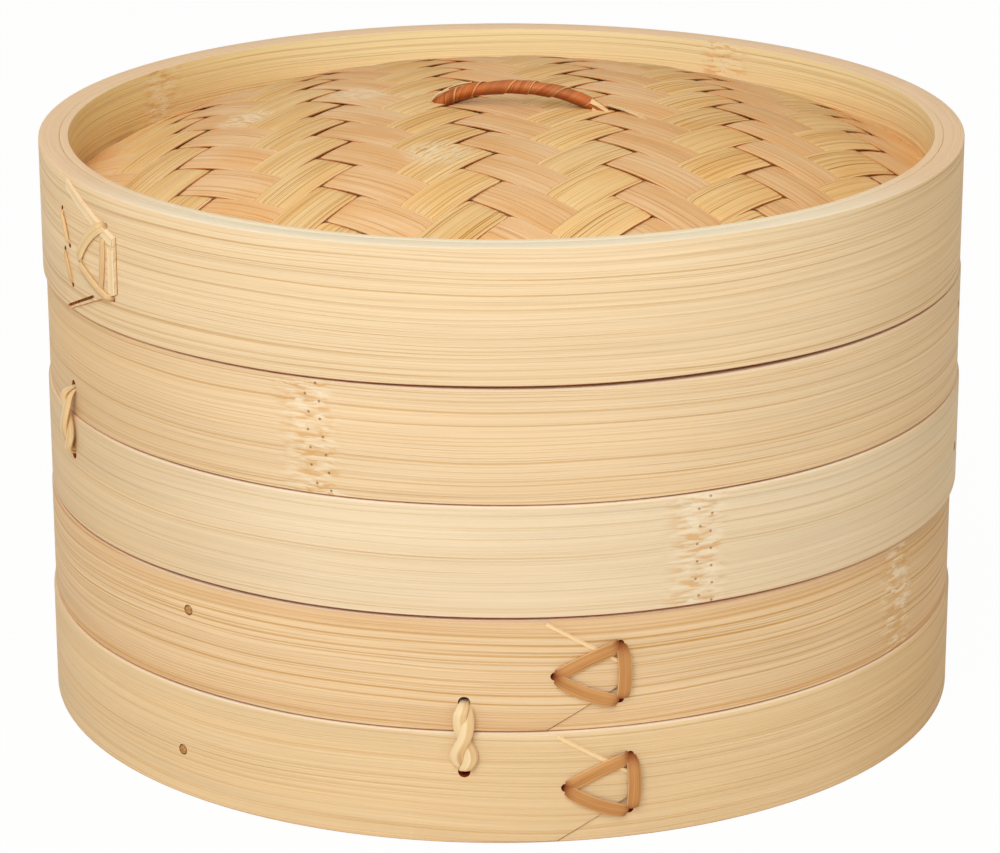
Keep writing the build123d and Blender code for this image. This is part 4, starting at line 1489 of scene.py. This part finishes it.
class STEAMER_OT_stage(bpy.types.Operator):
    """Sets the floor, the soft light and the camera"""

    bl_idname = "steamer.stage"
    bl_label = "Stage"

    def execute(self, context):
        stage = context.scene.steamer_stage
        self.floor(stage)
        self.surroundings(context.scene, stage)
        for name, (place, size) in LAMPS.items():
            self.lamp(name, place, size, getattr(stage, name))
        self.camera(context.scene, stage)
        context.scene.view_settings.view_transform = "Standard"
        return {"FINISHED"}

    def floor(self, stage):
        """A round white floor that keeps only a light shadow to the camera."""
        radius, roughness, cells, glowing = 6.0, 0.9, 60.0, 0.97
        piece = primitive("circle", "floor", vertices=96, radius=radius, fill_type="NGON")
        finish = Finish("floor_white", roughness)
        speck = finish.ranged(finish.specks(cells), 0.3, 0.7)
        finish.done(finish.mix(speck, shade(stage.floor_colour, 0.985), stage.floor_colour))
        ray = finish.nodes.new("ShaderNodeLightPath").outputs
        seen = finish.larger(ray["Is Camera Ray"], ray["Is Glossy Ray"])
        glow = finish.add("Emission")
        blend = finish.add("MixShader", finish.times(seen, glowing), finish.shader.outputs[0], glow)
        finish.feed(finish.nodes["Material Output"].inputs["Surface"], blend)
        piece.data.materials.append(finish.material)
        piece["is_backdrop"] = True

    def surroundings(self, scene, stage):
        """White behind the object, and a lower even light from all round."""
        world = bpy.data.worlds.new("studio")
        scene.world = world
        world.use_nodes = True
        tree = Tree(world.node_tree)
        background = tree.nodes["Background"].inputs
        right = tree.split(tree.add("TexCoord"))[0]
        tint = tree.mix(tree.ranged(right, *RIGHT_FROM_TO), EVEN_LIGHT, RIGHT_LIGHT)
        ray = tree.nodes.new("ShaderNodeLightPath").outputs
        tree.feed(background["Color"], tree.mix(ray["Is Camera Ray"], tint, WHITE))
        seen = tree.larger(ray["Is Camera Ray"], ray["Is Transmission Ray"])
        tree.feed(background["Strength"], tree.ranged(seen, 0.0, 1.0, stage.ambient, 1.0))

    def lamp(self, name, place, size, level):
        """A square soft light aimed at the object; its level is what a white card facing it would show."""
        aim = Vector((0, 0, 0.09))
        away = Vector(place) - aim
        light = bpy.data.lights.new(name, "AREA")
        light.shape = "SQUARE"
        light.size = size
        light.energy = level * pi ** 2 * away.length_squared
        lamp = bpy.data.objects.new(name, light)
        lamp.location = place
        lamp.rotation_euler = away.to_track_quat("Z", "Y").to_euler()
        bpy.context.scene.collection.objects.link(lamp)

    def camera(self, scene, stage):
        """The camera of the picture, 1000 by 853 pixels."""
        view = bpy.data.cameras.new("camera")
        view.lens = stage.focal
        view.sensor_width = 36.0
        view.sensor_fit = "HORIZONTAL"
        view.shift_x = stage.shift
        camera = bpy.data.objects.new("camera", view)
        scene.collection.objects.link(camera)
        down = Matrix.Rotation(pi / 2 - stage.camera_pitch, 4, "X")
        roll = Matrix.Rotation(stage.camera_roll, 4, "Z")
        camera.matrix_world = Matrix.Translation((0, -stage.camera_back, stage.camera_height)) @ down @ roll
        scene.camera = camera


STEPS = (
    STEAMER_OT_outer_hoops,
    STEAMER_OT_inner_hoops,
    STEAMER_OT_floors,
    STEAMER_OT_pegs,
    STEAMER_OT_lacing,
    STEAMER_OT_ties,
    STEAMER_OT_mat,
    STEAMER_OT_handle,
    STEAMER_OT_stage,
)


class STEAMER_PT_panel(bpy.types.Panel):
    """Steps of the steamer, in order"""

    bl_idname = "STEAMER_PT_panel"
    bl_label = "Bamboo steamer"
    bl_space_type = "VIEW_3D"
    bl_region_type = "UI"
    bl_category = "Steamer"

    def draw(self, context):
        for step in STEPS:
            self.layout.operator(step.bl_idname)


SETTINGS = {
    "steamer_hoops": HoopSettings,
    "steamer_canes": CaneSettings,
    "steamer_mat": MatSettings,
    "steamer_handle": HandleSettings,
    "steamer_stage": StageSettings,
}


def register():
    for group in SETTINGS.values():
        bpy.utils.register_class(group)
    for name, group in SETTINGS.items():
        setattr(bpy.types.Scene, name, PointerProperty(type=group))
    for step in STEPS:
        bpy.utils.register_class(step)
    bpy.utils.register_class(STEAMER_PT_panel)


def unregister():
    bpy.utils.unregister_class(STEAMER_PT_panel)
    for step in reversed(STEPS):
        bpy.utils.unregister_class(step)
    for name in SETTINGS:
        delattr(bpy.types.Scene, name)
    for group in reversed(SETTINGS.values()):
        bpy.utils.unregister_class(group)


def main():
    register()
    for step in STEPS:
        family, action = step.bl_idname.split(".")
        getattr(getattr(bpy.ops, family), action)()
    boxes = {"cad": CAD_BOX, "visual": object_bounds()}
    plain = {name: [list(corner) for corner in box] for name, box in boxes.items()}


if __name__ == "__main__":
    main()
